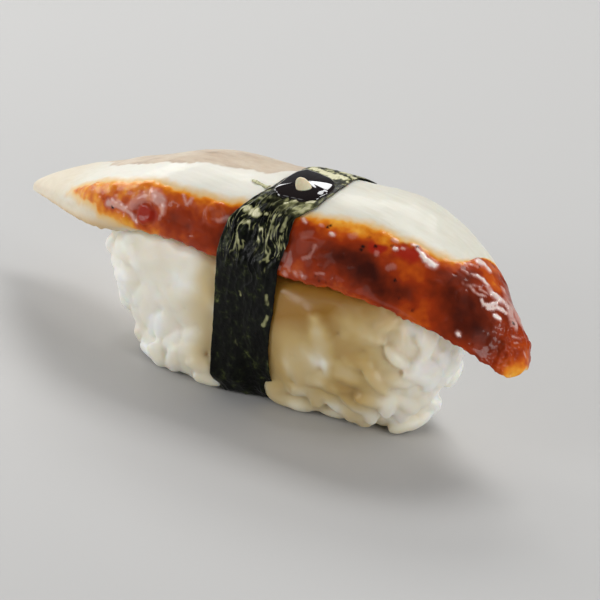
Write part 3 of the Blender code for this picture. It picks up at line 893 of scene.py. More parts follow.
# a few cloudy grains lie just under the clear starch to the right of the band, as paths
# with half widths in mm and a strength
CLOUDY_GRAINS = (
    (((19.4, -13.2, 19.6), (20.4, -13.2, 17.0), (20.6, -13.2, 12.9)), (1.3, 2.1), 0.6),
    (((25.6, -12.6, 20.6), (28.8, -12.0, 19.8)), (2.4, 2.0), 0.55),
    (((25.0, -12.8, 12.2), (27.6, -12.6, 11.2)), (1.8, 1.5), 0.6),
    (((31.0, -11.4, 18.8), (33.0, -10.3, 17.2)), (1.6, 2.0), 0.6),
    (((20.8, -13.0, 7.8), (23.8, -12.9, 6.6)), (1.4, 1.7), 0.5),
    (((14.2, -13.2, 9.5), (15.2, -13.2, 7.0)), (1.1, 1.4), 0.4),
)
cloud = np.zeros(len(rice_points))
soft_edge = 0.35 * wander(rice_points, 1.8, 24)
for path, half_widths, strength in CLOUDY_GRAINS:
    off = off_path(rice_points, path, half_widths) + soft_edge
    cloud = np.maximum(cloud, strength * smooth(2.0, 0.0, off))
# pressed smooth in the middle of each side, where the starch has closed over the grains
melted = relax(rice_points, 70)
proudness = np.sum((rice_points - melted) * rice_out, axis=1)
ends_and_foot = np.maximum(smooth(22, 30, np.abs(rice_points[:, 0] - RICE_MIDDLE[0])),
                           smooth(6.0, 2.0, rice_points[:, 2]))
closed = (0.84 - 0.58 * ends_and_foot) * (0.95 + 0.25 * wander(rice_points, 6.0, 22))
closed *= (1 - 0.35 * smooth(-2, 7, rice_points[:, 1])) * (1 - 0.3 * chalk)
closed = np.maximum(closed, smooth(-0.5, -1.1, proudness))
closed += 0.5 * smooth(9.0, 7.0, beside_band(rice_points))
closed += 0.5 * smooth(16, 21, rice_points[:, 2]) * smooth(24, 12, beside_band(rice_points))
rice_points = rice_points + (melted - rice_points) * np.clip(closed, 0, 0.92)[:, None]
rice_points = rice_points + rice_out * (0.10 * cloud)[:, None]
# chalky grains, proud ones and both ends are whitest
whiteness = 0.25 + 0.6 * chalk + 0.2 * proudness + 0.15 * wander(rice_points, 3.2, 23)
both_ends = smooth(-16, -24, rice_points[:, 0]) + smooth(26, 32, rice_points[:, 0])
whiteness = np.clip(whiteness + 0.35 * (both_ends + cloud), 0, 0.95)
# the tint of sauce stain and painted shade is weaker on cloudy and chalky grains
stain_and_shade = sauce_stain_and_shade(rice_points) * (1 - 0.6 * cloud)
stain_and_shade *= 1.1 - 0.75 * chalk * smooth(0.7, 0.35, stain_and_shade)
grains = make_piece("pressed_rice", rice_points, rice_faces, rice_surface,
                    {"whiteness": whiteness, "sauce_stain_and_shade": stain_and_shade})
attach(grains, "root")
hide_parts("rice")

# ---------------------------------------------------------------------------
# Nori band.  A strip cut from a toasted sheet of pressed laver, drawn tight round
# slice and rice while dry.  Steam has softened it, so it has wrinkled lengthwise
# where it turns over the shoulder of the slice.
# ---------------------------------------------------------------------------

BAND_HALF_WIDTH = 5.6
SHEET_THICKNESS = 0.22
# height of the middle that the strip goes round
BAND_CENTRE_HEIGHT = 16.7
# strips of mesh across the band, points round it, and how much coarser its inside is
BAND_STRIPS = 112
BAND_POINTS = 640
LINING_STEP = 4
# how far the two edges of the band swing to the right where it crosses the slice, at
# places across the slice, in mm
LEFT_SWING = ((-12.5, 0.0), (-10.5, 0.2), (-9.6, 0.6), (-8.2, 1.4), (-6.2, 2.0), (-3.9, 2.7), (-0.4, 2.6),
              (4.0, 2.0), (9.0, 0.9), (12.0, 0.2))
RIGHT_SWING = ((-10.0, 0.0), (-7.7, -0.7), (-5.7, 0.3), (-4.6, 0.8), (-1.0, 0.6), (2.7, 0.1), (6.0, -0.9),
               (8.0, -1.3), (10.5, -0.5), (12.5, 0.0))
# painted highlights on the crests of creases and on flakes, and flecks of dried starch, as
# paths with a half width in mm and a strength
CRESTS = (
    # creases over the near shoulder, with painted highlights
    (((3.2, -9.4, 31.9), (4.0, -9.3, 31.8), (4.8, -9.2, 31.6)), 0.62, 1.0),
    (((3.4, -9.9, 31.6), (3.9, -10.5, 30.7), (4.4, -11.0, 29.8)), 0.3, 0.95),
    (((4.6, -9.7, 31.5), (4.4, -10.6, 30.2)), 0.24, 0.85),
    (((5.0, -9.4, 31.3), (4.9, -10.2, 30.7)), 0.2, 0.75),
    (((2.8, -10.2, 31.3), (2.9, -11.0, 29.5)), 0.22, 0.7),
    (((1.7, -9.9, 31.8), (1.2, -10.9, 30.4)), 0.34, 0.6),
    (((5.5, -8.5, 32.1), (5.7, -8.6, 32.0)), 0.22, 0.9),
    (((6.1, -8.7, 31.8), (6.3, -8.7, 31.8)), 0.25, 0.95),
    (((7.5, -8.6, 32.3), (7.7, -9.3, 31.9), (7.7, -9.9, 31.3), (7.9, -10.5, 30.7)), 0.22, 0.9),
    (((8.4, -9.0, 32.2), (8.6, -9.6, 31.6), (8.5, -10.1, 30.9)), 0.24, 0.95),
    (((6.9, -9.1, 31.6), (7.0, -9.7, 30.8), (7.8, -10.6, 30.5)), 0.16, 0.75),
    (((6.3, -9.5, 31.5), (6.3, -10.4, 30.7), (6.6, -11.0, 29.8), (7.2, -11.6, 28.7)), 0.17, 0.75),
    (((6.3, -9.9, 31.0), (6.0, -10.6, 30.1), (6.0, -11.1, 28.9)), 0.15, 0.6),
    (((8.0, -10.7, 30.2), (8.1, -11.3, 28.9), (8.0, -11.8, 27.9), (7.6, -12.3, 26.4)), 0.22, 0.6),
    (((7.2, -11.6, 28.7), (7.2, -12.1, 27.0), (6.8, -12.7, 24.8)), 0.2, 0.6),
    (((9.9, -8.3, 32.5), (10.2, -9.1, 31.7), (10.3, -9.8, 30.7)), 0.35, 0.42),
    (((10.8, -8.6, 32.3), (11.1, -9.5, 31.2), (11.2, -10.3, 30.0)), 0.18, 0.45),
    (((10.0, -10.8, 30.2), (9.6, -11.0, 28.6)), 0.18, 0.5),
    (((9.0, -10.4, 30.4), (9.2, -11.2, 28.7)), 0.14, 0.45),
    (((5.3, -11.3, 29.3), (4.1, -11.8, 27.7), (4.0, -12.4, 26.9)), 0.2, 0.5),
    (((2.4, -11.2, 29.0), (2.2, -12.0, 27.4)), 0.15, 0.35),
    (((1.7, -11.7, 28.0), (1.5, -12.4, 26.6)), 0.16, 0.4),
    (((5.6, -12.4, 26.4), (5.3, -12.8, 24.6)), 0.15, 0.35),
    (((9.6, -12.2, 26.0), (9.4, -12.5, 24.0)), 0.18, 0.35),
    # flecks down the near side
    (((2.0, -12.9, 25.3), (2.3, -12.9, 24.4)), 0.3, 0.35),
    (((10.0, -12.6, 20.4), (10.4, -12.6, 19.2)), 0.4, 0.3),
    (((10.8, -12.7, 17.0), (10.2, -12.7, 15.3)), 0.4, 0.4),
    (((4.4, -12.8, 11.6), (4.8, -12.6, 10.0)), 0.35, 0.22),
    (((5.0, -12.7, 19.5), (5.1, -12.7, 18.9)), 0.3, 0.8),
    (((3.1, -12.9, 17.9), (3.5, -12.9, 17.3)), 0.25, 0.8),
    (((4.9, -12.7, 15.3), (5.2, -12.7, 15.7)), 0.25, 0.65),
    (((3.6, -12.8, 4.1), (3.8, -12.8, 4.1)), 0.25, 0.4),
    # flecks on top, in front of the sauce
    (((6.1, -5.8, 33.8), (6.4, -5.8, 33.8)), 0.3, 0.6), (((3.6, -7.0, 33.0), (3.9, -7.0, 33.0)), 0.25, 0.5),
    (((8.1, -6.4, 33.2), (8.5, -6.3, 33.3)), 0.25, 0.85),
    (((8.8, -5.9, 33.7), (9.2, -5.4, 33.8)), 0.35, 0.65),
    (((10.4, -5.8, 33.8), (10.8, -5.7, 33.8)), 0.3, 0.95),
    (((10.9, -4.6, 34.1), (11.6, -4.3, 34.2)), 0.42, 1.0),
    (((11.5, -6.1, 33.6), (12.0, -5.6, 33.7)), 0.3, 0.75),
    (((10.2, -7.4, 33.2), (10.6, -7.2, 33.3)), 0.3, 0.6),
    (((5.8, -7.3, 33.1), (6.1, -7.3, 33.1)), 0.25, 0.45),
    (((10.4, -6.6, 33.3), (10.9, -6.4, 33.4)), 0.35, 0.55),
    # painted highlights on the flakes on top, behind the sauce
    (((4.6, 5.2, 34.2), (6.4, 4.9, 34.5), (8.1, 4.3, 34.7), (9.8, 3.7, 34.9)), 0.7, 1.0),
    (((9.6, 4.8, 34.8), (11.0, 4.7, 34.9)), 0.6, 1.0), (((12.0, 3.9, 35.0), (12.3, 4.0, 35.0)), 0.35, 0.8),
    (((12.4, 4.9, 34.8), (12.7, 5.2, 34.7)), 0.3, 0.9), (((12.3, 2.6, 35.1), (12.6, 2.9, 35.1)), 0.3, 0.6),
    (((6.2, 6.6, 34.1), (7.2, 6.4, 34.2)), 0.4, 0.7), (((11.4, 6.4, 34.2), (12.0, 6.6, 34.0)), 0.4, 0.7),
    (((8.4, 7.4, 33.8), (9.4, 7.8, 33.6)), 0.45, 0.6), (((5.0, 8.2, 33.2), (5.6, 9.2, 32.6)), 0.4, 0.5),
)


def strip_line(x, y, z):
    """Where a line of the strip lies, askew and swung aside as it crosses the slice."""
    share = x / BAND_HALF_WIDTH
    left, right = (np.interp(y, *zip(*swing)) for swing in (LEFT_SWING, RIGHT_SWING))
    return band_line(x, y) + (left * (1 - share) + right * (1 + share)) / 2 * smooth(24, 30, z)


# the strip is laid round slice and rice, past the grains that spread over its foot
wrapped = np.concatenate([slice_frame, rice_points])
wrapped = wrapped[np.abs(wrapped[:, 0] - band_line(0.0, SLICE_ZERO[1])) < 12]
for centre in spread_grains:
    wrapped = wrapped[np.linalg.norm((wrapped - centre) * (0.6, 1, 1), axis=1) > 2.0]
# it is drawn tight, so it bridges the hollows between the grains
coarse_places = np.linspace(-BAND_HALF_WIDTH, BAND_HALF_WIDTH, BAND_STRIPS // 2 + 1)
look_turns = np.linspace(0, 2 * math.pi, 360, endpoint=False)
band_turns = np.linspace(0, 2 * math.pi, BAND_POINTS, endpoint=False)
facing = np.cos(band_turns[:, None] - look_turns[None])
reaches = []
for x in coarse_places:
    body = wrapped[np.abs(wrapped[:, 0] - strip_line(x, wrapped[:, 1], wrapped[:, 2])) < 0.8]
    lines = np.array([np.max(body[:, 1] * math.cos(t) + (body[:, 2] - BAND_CENTRE_HEIGHT) * math.sin(t))
                      for t in look_turns]) + 0.12
    reaches.append(np.min(np.where(facing > 0.2, lines[None] / np.maximum(facing, 0.2), 99), axis=1))
reaches = np.array(reaches)
for _ in range(6):
    padded = np.pad(reaches, ((1, 1), (0, 0)), mode="edge")
    reaches = np.maximum(reaches, (padded[:-2] + padded[1:-1] + padded[2:]) / 3)

strip_places = np.linspace(-BAND_HALF_WIDTH, BAND_HALF_WIDTH, BAND_STRIPS + 1)
reaches = np.array([np.interp(strip_places, coarse_places, column) for column in reaches.T]).T
x = np.repeat(strip_places[:, None], BAND_POINTS, axis=1)
y = reaches * np.cos(band_turns)
z = BAND_CENTRE_HEIGHT + reaches * np.sin(band_turns)
half = BAND_STRIPS // 2
arc = np.cumsum(np.hypot(np.diff(y[half], prepend=y[half, 0]), np.diff(z[half], prepend=z[half, 0])))
arc = np.repeat(arc[None], BAND_STRIPS + 1, axis=0)
along_y = np.roll(y, -1, axis=1) - np.roll(y, 1, axis=1)
along_z = np.roll(z, -1, axis=1) - np.roll(z, 1, axis=1)
out_y, out_z = along_z / np.hypot(along_y, along_z), -along_y / np.hypot(along_y, along_z)


def sheet_wander(across, along, size, seed):
    """Smooth random values over the strip, laid out flat."""
    points = np.stack([across, along, 0 * along], axis=-1).reshape(-1, 3)
    return wander(points, size, seed).reshape(across.shape)


# wrinkles run along the strip and gather at the near shoulder of the slice
shoulder = np.exp(-((z - 29.5) / 5.5) ** 2) * smooth(1.0, -7.0, y)
slant = x + 0.3 * (z - 30) * shoulder
flow = sheet_wander(x, arc, 3.5, 47)
folds = sheet_wander(slant + flow, arc / 3.2, 1.0, 41)
ridge = 1 - np.abs(sheet_wander(slant / 1.5 - flow, arc / 4.2, 1.0, 46)) * 2.6
crinkle = sheet_wander(x, arc * 0.8, 0.6, 42)
lift = 0.10 + folds * (0.05 + 0.34 * shoulder) + np.maximum(ridge, 0) * (0.05 + 0.45 * shoulder)
lift += crinkle * (0.05 + 0.10 * shoulder) + 0.18 * np.maximum(sheet_wander(x, arc, 3.0, 43), 0)
# painted highlights on crests: those above, fine ones over both shoulders, and on flakes of a top painted
# paler
place = np.stack([strip_line(x, y, z), y, z], axis=-1).reshape(-1, 3)
ragged_crest = 0.45 * sheet_wander(x, arc * 0.5, 0.5, 54).ravel()
flecks_and_painted_highlights = np.zeros(len(place))
for path, half_width, strength in CRESTS:
    off = off_path(place, path, half_width) + ragged_crest
    flecks_and_painted_highlights = np.maximum(flecks_and_painted_highlights, smooth(1.7, 0.8, off) * strength)
flecks_and_painted_highlights = flecks_and_painted_highlights.reshape(x.shape)
lift = np.maximum(lift + 0.10 * flecks_and_painted_highlights, 0.0)
speckle = sheet_wander(x, arc * 0.7, 0.55, 48)
streak = 1 - np.abs(sheet_wander(slant / 0.6 - 2 * flow, arc / 3.0, 1.0, 53)) * 6
fine = smooth(0.1, 1.1, streak + 0.7 * speckle) * smooth(-0.25, 0.3, sheet_wander(x, arc, 2.6, 55))
near_shoulder = np.exp(-((z - 29.5) / 4.0) ** 2) * smooth(-5, -9, y)
far_shoulder = np.exp(-((z - 30.5) / 3.0) ** 2) * smooth(5, 9, y)
flecks_and_painted_highlights = np.maximum(flecks_and_painted_highlights, fine * (0.72 * near_shoulder + 0.4 * far_shoulder))
on_top = smooth(31.6, 33.2, z)
flakes = smooth(0.2, 0.45, speckle + 0.35 * sheet_wander(x, arc, 2.0, 49))
far_top = smooth(2.0, 4.5, y)
near_right = smooth(-3.0, -5.0, y) * smooth(-1.0, 2.5, x)
flecks_and_painted_highlights = np.maximum(flecks_and_painted_highlights, on_top * (0.08 + 0.10 * speckle + 0.10 * near_right
                                  + flakes * (0.10 + 0.35 * far_top + 0.16 * near_right)))
# both edges of the strip are a little ragged, each in its own way
side_of = np.sign(x) * 3
ragged = 0.28 * sheet_wander(arc / 5.0, side_of, 1.0, 44)
ragged += 0.10 * sheet_wander(arc / 0.9, side_of, 1.0, 45)
# the strip is drawn narrower towards its foot at the right
drawn = 1 - 0.24 * smooth(24, 2, z) * smooth(-2, -9, y) * (x > 0)
across = x * drawn + ragged * np.abs(x / BAND_HALF_WIDTH) ** 3
# the lining is coarser and keeps under the lowest of the creases round each of its points
low_lift = lift.copy()
for step in (1, 1, 2):
    padded = np.pad(low_lift, ((step, step), (0, 0)), mode="edge")
    low_lift = np.minimum(np.minimum(padded[:-2 * step], padded[2 * step:]), low_lift)
layers = []
at_edge = np.abs(x / BAND_HALF_WIDTH) ** 6
thickness = SHEET_THICKNESS * (1 - 0.5 * at_edge)
lift *= 1 - 0.7 * at_edge
for rise, lowest in ((lift + thickness, 0.0), (np.minimum(low_lift, lift), SHEET_THICKNESS)):
    layer_y, layer_z = y + out_y * rise, np.maximum(z + out_z * rise, lowest)
    layers.append(np.stack([strip_line(across, layer_y, layer_z), layer_y, layer_z], axis=-1))
outer, lining = layers[0], layers[1][::LINING_STEP]
band_verts = np.concatenate([outer.reshape(-1, 3), lining.reshape(-1, 3)])
total = len(outer) * BAND_POINTS
band_faces = tube_faces(len(outer), BAND_POINTS)
band_faces += [tuple(total + k for k in face) for face in tube_faces(len(lining), BAND_POINTS)]
for edge, lining_edge in ((0, 0), (len(outer) - 1, len(lining) - 1)):
    for j in range(BAND_POINTS):
        k = (j + 1) % BAND_POINTS
        a, b = edge * BAND_POINTS, total + lining_edge * BAND_POINTS
        band_faces.append((a + j, a + k, b + k, b + j))

# Toasted nori: near black, with olive where the sheet is thin, and a dull gloss
nori_surface, tree, shader = new_material("toasted_nori", {"Specular IOR Level": 0.14})
coords = add_node(tree, "ShaderNodeTexCoord").outputs["Object"]
# laver fronds overlap in flakes of about 2 mm
frond = add_node(tree, "ShaderNodeTexNoise", None,
                 {"Vector": coords, "Scale": 1 / (1.6 * MM), "Detail": 6.0, "Roughness": 0.65})
nori_tone = add_node(tree, "ShaderNodeValToRGB", None, {"Fac": frond.outputs["Fac"]})
nori_tone.color_ramp.elements[0].position = 0.48
nori_tone.color_ramp.elements[0].color = linear("040503")
nori_tone.color_ramp.elements[1].position = 0.80
nori_tone.color_ramp.elements[1].color = linear("9A9C60")
nori_tone.color_ramp.elements.new(0.58).color = linear("12160A")
nori_tone.color_ramp.elements.new(0.69).color = linear("3C4220")
fleck_highlight_note = add_node(tree, "ShaderNodeAttribute", {"attribute_name": "flecks_and_painted_highlights"})
# the painted highlights break up into creases, about 0.4 mm apart and 3 mm long
crease_coords = add_node(tree, "ShaderNodeMapping", None,
                         {"Vector": coords, "Scale": (1.0, 0.35, 0.35)})
crease = add_node(tree, "ShaderNodeTexNoise", None,
                  {"Vector": crease_coords.outputs[0], "Scale": 1 / (0.55 * MM), "Detail": 3.0,
                   "Roughness": 0.6, "Distortion": 0.5})
crease_share = add_node(tree, "ShaderNodeMapRange", {"interpolation_type": "SMOOTHSTEP"},
                        {0: crease.outputs["Fac"], 1: 0.38, 2: 0.58, 3: 0.8, 4: 1.4})
fleck_highlight_share = add_node(tree, "ShaderNodeMath", {"operation": "MULTIPLY", "use_clamp": True},
                      {0: fleck_highlight_note.outputs["Fac"], 1: crease_share.outputs[0]})
# painted highlight tones, from olive to pale cream
fleck_highlight_tone = add_node(tree, "ShaderNodeValToRGB", None, {"Fac": fleck_highlight_share.outputs[0]})
fleck_highlight_tone.color_ramp.elements[0].color = linear("3B3D20")
fleck_highlight_tone.color_ramp.elements[1].color = linear("E6E1BC")
fleck_highlight_tone.color_ramp.elements.new(0.5).color = linear("A09F72")
painted_crest_share = add_node(tree, "ShaderNodeMapRange", {"interpolation_type": "SMOOTHSTEP"},
                        {0: fleck_highlight_share.outputs[0], 1: 0.0, 2: 0.3})
painted_crests = add_node(tree, "ShaderNodeMix", {"data_type": "RGBA"},
                  {"Factor": painted_crest_share.outputs[0], 6: nori_tone.outputs[0], 7: fleck_highlight_tone.outputs[0]})
tree.links.new(painted_crests.outputs[2], shader.inputs["Base Color"])
nori_rough = add_node(tree, "ShaderNodeMapRange", None,
                      {0: frond.outputs["Fac"], 1: 0.3, 2: 0.7, 3: 0.24, 4: 0.45})
tree.links.new(nori_rough.outputs[0], shader.inputs["Roughness"])
flake_grain = add_node(tree, "ShaderNodeTexNoise", None,
                       {"Vector": coords, "Scale": 1 / (0.5 * MM), "Detail": 4.0})
nori_bump = add_node(tree, "ShaderNodeBump", None,
                     {"Height": flake_grain.outputs["Fac"], "Strength": 0.5, "Distance": 0.15 * MM})
tree.links.new(nori_bump.outputs[0], shader.inputs["Normal"])
band = make_piece("nori_wrap", band_verts, band_faces, nori_surface,
                  {"flecks_and_painted_highlights": np.concatenate([np.clip(flecks_and_painted_highlights.ravel(), 0, 1), np.zeros(lining.size // 3)])})
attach(band, "root")
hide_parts("nori_band")

# ---------------------------------------------------------------------------
# Sauce.  A few drops of thick sweet soy sauce put on top of the band, where they
# stand in one low glossy pool.
# ---------------------------------------------------------------------------

# the outline of the pool on the band, seen from above, in mm
POOL_OUTLINE = np.array((
    (4.6, -5.2), (4.1, -2.0), (4.0, 1.4), (4.6, 3.3), (7.0, 3.1), (9.6, 2.7), (11.2, 2.0),
    (12.3, 0.3), (12.6, -1.9), (12.0, -3.5), (10.6, -5.0), (8.3, -5.6), (6.1, -5.8),
))
POOL_HEIGHT = 0.65
POOL_RIM = 0.35
# its top clears the creases of the band, and its foot is sunk in them
POOL_CLEARANCE = 0.08
POOL_SUNK = 0.12
POOL_RINGS = 30
POOL_SIDES = 130

top = BVHTree.FromPolygons([Vector(v) for v in np.concatenate([band_verts, slice_frame])],
                           band_faces + [tuple(k + len(band_verts) for k in f) for f in slice_faces])


def top_height(x, y):
    """Height of band or slice under a point, seen from above."""
    hit = top.ray_cast(Vector((x, y, 60.0)), Vector((0, 0, -1)))
    return hit[0].z


# a smooth closed line along the points of the outline
around = np.arange(POOL_SIDES) / POOL_SIDES * len(POOL_OUTLINE)
spans = np.arange(-2, len(POOL_OUTLINE) + 3)
weight = np.exp(-((around[:, None] - spans[None]) / 0.62) ** 2)
rim_line = weight @ POOL_OUTLINE[spans % len(POOL_OUTLINE)] / weight.sum(axis=1)[:, None]
on_plan = np.pad(rim_line, ((0, 0), (0, 1)))
rim_line += 0.12 * np.stack([wander(on_plan, 1.1, seed) for seed in (51, 52)], axis=-1)
middle = rim_line.mean(axis=0)
shares = np.arange(POOL_RINGS + 1)[:, None] / POOL_RINGS
pool_plan = middle + (rim_line - middle) * shares[:, :, None]
grounds = np.array([[top_height(x, y) for x, y in ring] for ring in pool_plan])
# the pool's bed is stretched smoothly inwards from its rim, and the pool swells over it
shore = grounds[-1]
SHORE_ROUNDS, BED_ROUNDS = 60, 1500
for _ in range(SHORE_ROUNDS):
    shore = (np.roll(shore, 1) + 2 * shore + np.roll(shore, -1)) / 4
bed = np.tile(shore, (POOL_RINGS + 1, 1))
bed[:-1] = shore.mean()
for _ in range(BED_ROUNDS):
    beside = (np.roll(bed, 1, axis=1) + np.roll(bed, -1, axis=1)) / 2
    bed[1:-1] = 0.4 * (bed[:-2] + bed[2:]) + 0.2 * beside[1:-1]
    bed[0] = bed[1].mean()
swell = POOL_HEIGHT * (1 - shares**2) + POOL_RIM * np.sqrt(1 - shares**20)
pool_top = np.concatenate([pool_plan, (bed + swell + POOL_CLEARANCE)[:, :, None]], axis=2)
pool_foot = np.concatenate([pool_plan, (grounds - POOL_SUNK)[:, :, None]], axis=2)
n_pool = (POOL_RINGS + 1) * POOL_SIDES
pool_faces = tube_faces(POOL_RINGS + 1, POOL_SIDES)
pool_faces += [tuple(n_pool + k for k in face) for face in tube_faces(POOL_RINGS + 1, POOL_SIDES)]
rim = POOL_RINGS * POOL_SIDES
for j in range(POOL_SIDES):
    k = (j + 1) % POOL_SIDES
    pool_faces.append((rim + j, rim + k, n_pool + rim + k, n_pool + rim + j))

# Soy reduction: almost black and smooth as glass, so that it shows the lamps
sauce_surface, tree, shader = new_material("soy_reduction", {
    "Base Color": linear("140806"), "Roughness": 0.04, "IOR": 1.42, "Coat Weight": 1.0,
    "Coat Roughness": 0.02})
pool = make_piece("sauce_pool", np.concatenate([pool_top.reshape(-1, 3), pool_foot.reshape(-1, 3)]),
                  pool_faces, sauce_surface)
pool_shell = bmesh.new()
pool_shell.from_mesh(pool.data)
bmesh.ops.remove_doubles(pool_shell, verts=pool_shell.verts, dist=0.02 * MM)
bmesh.ops.recalc_face_normals(pool_shell, faces=pool_shell.faces)
pool_shell.to_mesh(pool.data)
pool_shell.free()
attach(pool, "root")

# ---------------------------------------------------------------------------
# Trimmings.  One hulled sesame seed stands in the sauce, sunk in by a third, and a
# shred torn from the edge of the nori lies on the flesh beside the band.
# ---------------------------------------------------------------------------

SEED_LENGTH = 3.1
SEED_WIDTH = 2.3
SEED_DEPTH = 1.1
SEED_RINGS, SEED_SIDES = 30, 36
SEED_MIDDLE = np.array((8.74, -3.04, 35.37))
SEED_AXIS = np.array((0.66, -0.01, -0.75))
SEED_FACE = np.array((0.45, -0.75, 0.45))

seed_axis = SEED_AXIS / np.linalg.norm(SEED_AXIS)
seed_side = np.cross(SEED_FACE, seed_axis)
seed_side /= np.linalg.norm(seed_side)
seed_face = np.cross(seed_axis, seed_side)
seed_rings = []
seed_turns = np.linspace(0, 2 * math.pi, SEED_SIDES, endpoint=False)
for t in -np.cos(np.linspace(0.12, math.pi - 0.12, SEED_RINGS)):
    # blunt at one end and drawn to a point at the other
    girth = (1 - t * t) ** 0.45 * (1 + 0.16 * t)
    seed_rings.append(SEED_MIDDLE + seed_axis * t * SEED_LENGTH / 2
                      + seed_side * (np.cos(seed_turns) * girth * SEED_WIDTH / 2)[:, None]
                      + seed_face * (np.sin(seed_turns) * girth * SEED_DEPTH / 2)[:, None])
seed_verts = np.concatenate(seed_rings)
seed_verts += 0.03 * np.stack([wander(seed_verts, 0.5, 61)] * 3, axis=-1)
seed_faces = tube_faces(SEED_RINGS, SEED_SIDES)
seed_faces += [tuple(range(SEED_SIDES)), tuple(range(len(seed_verts) - SEED_SIDES, len(seed_verts)))]

# Sesame hull: matt cream, a little darker in its fine wrinkles
seed_surface, tree, shader = new_material("sesame_hull", {
    "Roughness": 0.5, "Subsurface Weight": 0.3, "Subsurface Scale": 0.6 * MM})
coords = add_node(tree, "ShaderNodeTexCoord").outputs["Object"]
hull = add_node(tree, "ShaderNodeTexNoise", None,
                {"Vector": coords, "Scale": 1 / (0.5 * MM), "Detail": 3.0})
hull_tone = add_node(tree, "ShaderNodeMix", {"data_type": "RGBA"},
                     {"Factor": hull.outputs["Fac"], 6: linear("D9CBA0"), 7: linear("EFE6CB")})
tree.links.new(hull_tone.outputs[2], shader.inputs["Base Color"])
hull_bump = add_node(tree, "ShaderNodeBump", None,
                     {"Height": hull.outputs["Fac"], "Strength": 0.3, "Distance": 0.1 * MM})
tree.links.new(hull_bump.outputs[0], shader.inputs["Normal"])
seed = make_piece("sesame_seed", seed_verts, seed_faces, seed_surface)
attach(seed, "root")

# the shred's middle line, seen from above, and its half width there, in mm
SHRED_PATH = ((-0.6, -3.7, 0.10), (0.3, -3.9, 0.30), (1.4, -3.9, 0.22), (2.6, -4.2, 0.30),
              (3.6, -4.5, 0.15))
SHRED_THICKNESS = 0.16
shred_verts = []
for n, (x, y, wide) in enumerate(SHRED_PATH):
    for side, up in ((-1, 0), (-1, 1), (1, 1), (1, 0)):
        lift = 0.02 + SHRED_THICKNESS * up + 0.12 * math.sin(n * 2.1)
        shred_verts.append((x, y + side * wide, top_height(x, y + side * wide) + lift))
shred_faces = tube_faces(len(SHRED_PATH), 4) + [(0, 1, 2, 3), (16, 17, 18, 19)]
# the shred is painted paler with the band's highlight tone
shred = make_piece("nori_shred", shred_verts, shred_faces, nori_surface,
                   {"flecks_and_painted_highlights": [0.6] * len(shred_verts)})
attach(shred, "root")

# ---------------------------------------------------------------------------
# Floor, light and camera.  A pale sweep; soft boxes above and behind, which light the
# piece as in the photograph; white cards round it, and a weak fill from the front.
# ---------------------------------------------------------------------------

# half a side of the sweep, in metres
FLOOR_HALF = 3.0
# the paper lies a fifth of a millimetre under the food
FLOOR_DROP = 0.2 * MM
floor_mesh = bpy.data.meshes.new("floor")
corners = [(x * FLOOR_HALF, y * FLOOR_HALF, 0) for x, y in ((-1, -1), (1, -1), (1, 1), (-1, 1))]
floor_mesh.from_pydata(corners, [], [(0, 1, 2, 3)])
floor = bpy.data.objects.new("floor", floor_mesh)
bpy.context.scene.collection.objects.link(floor)
floor_surface, tree, shader = new_material("pale_paper_sweep", {
    "Base Color": linear("BEBDBB"), "Roughness": 0.8})
floor_mesh.materials.append(floor_surface)
floor.location.z = -FLOOR_DROP
floor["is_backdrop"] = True

world = bpy.data.worlds.new("studio")
world.use_nodes = True
world.node_tree.nodes["Background"].inputs[0].default_value = linear("E8ECF2")
world.node_tree.nodes["Background"].inputs[1].default_value = 0.14
bpy.context.scene.world = world

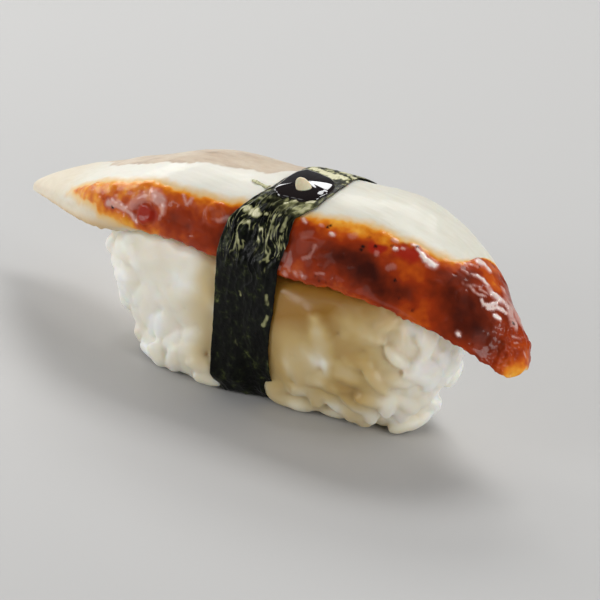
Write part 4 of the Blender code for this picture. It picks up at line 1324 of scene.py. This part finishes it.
# each lamp faces the middle of the slice: its way there, how far off it stands, its width
# and height in metres, and its power in watts
AIM = Vector((0.0, 0.0, 18 * MM))
for name, way, distance, wide, high, power in (
        ("top_softbox", (0.00, 0.46, 0.87), 0.55, 0.34, 0.15, 1.3),
        ("window_card", (-0.38, 0.65, 0.65), 0.50, 0.20, 0.13, 0.6),
        ("back_softbox", (-0.86, 0.42, 0.46), 0.60, 0.30, 0.20, 0.95),
        ("left_card", (-0.95, -0.14, 0.28), 0.30, 0.12, 0.12, 0.22),
        ("front_left_card", (-0.66, -0.72, 0.27), 0.24, 0.10, 0.09, 0.18),
        ("front_fill", (-0.10, -0.80, 0.60), 0.60, 0.30, 0.20, 0.25),
        ("right_card", (0.80, 0.18, 0.57), 0.50, 0.14, 0.09, 0.5),
        ("right_low_card", (0.92, -0.30, 0.22), 0.30, 0.10, 0.10, 0.26)):
    lamp = bpy.data.lights.new(name, "AREA")
    lamp.shape = "RECTANGLE"
    lamp.size, lamp.size_y = wide, high
    lamp.energy = power
    holder = bpy.data.objects.new(name, lamp)
    holder.location = AIM + Vector(way).normalized() * distance
    holder.rotation_euler = (AIM - holder.location).to_track_quat("-Z", "Y").to_euler()
    bpy.context.scene.collection.objects.link(holder)

# a long lens, from above and from the right of straight in front, turned a little about
# its own line of sight
ELEVATION = math.radians(27.4)
AZIMUTH = math.radians(35.6)
ROLL = math.radians(3.75)
PIXELS_PER_MM = 6.3
FOCAL_PIXELS = 4000.0
FRAME_PIXELS = 600
SENSOR_WIDTH = 36
# the point of the floor under the zero of the slice lies at this pixel
FOOT = Vector((SLICE_ZERO[0] * MM, SLICE_ZERO[1] * MM, 0))
FOOT_PIXEL = (285.4, 376.0)

right = Vector((math.cos(AZIMUTH), math.sin(AZIMUTH), 0))
ahead = Vector((-math.sin(AZIMUTH) * math.cos(ELEVATION),
                math.cos(AZIMUTH) * math.cos(ELEVATION), -math.sin(ELEVATION)))
upward = right.cross(ahead)
off_middle = Vector((FOOT_PIXEL[0] - FRAME_PIXELS / 2, FRAME_PIXELS / 2 - FOOT_PIXEL[1]))
turned = Matrix.Rotation(ROLL, 2) @ off_middle
target = FOOT - (right * turned.x + upward * turned.y) / PIXELS_PER_MM * MM
distance = FOCAL_PIXELS / PIXELS_PER_MM * MM
lens = bpy.data.cameras.new("camera")
lens.sensor_width = SENSOR_WIDTH
lens.lens = FOCAL_PIXELS / FRAME_PIXELS * SENSOR_WIDTH
lens.clip_start = 0.01
camera = bpy.data.objects.new("camera", lens)
camera.matrix_world = Matrix.Translation(target - ahead * distance) @ (
    Matrix((right, upward, -ahead)).transposed() @ Matrix.Rotation(ROLL, 3, "Z")).to_4x4()
bpy.context.scene.collection.objects.link(camera)
bpy.context.scene.camera = camera
bpy.context.scene.view_settings.view_transform = "Standard"

low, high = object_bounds()
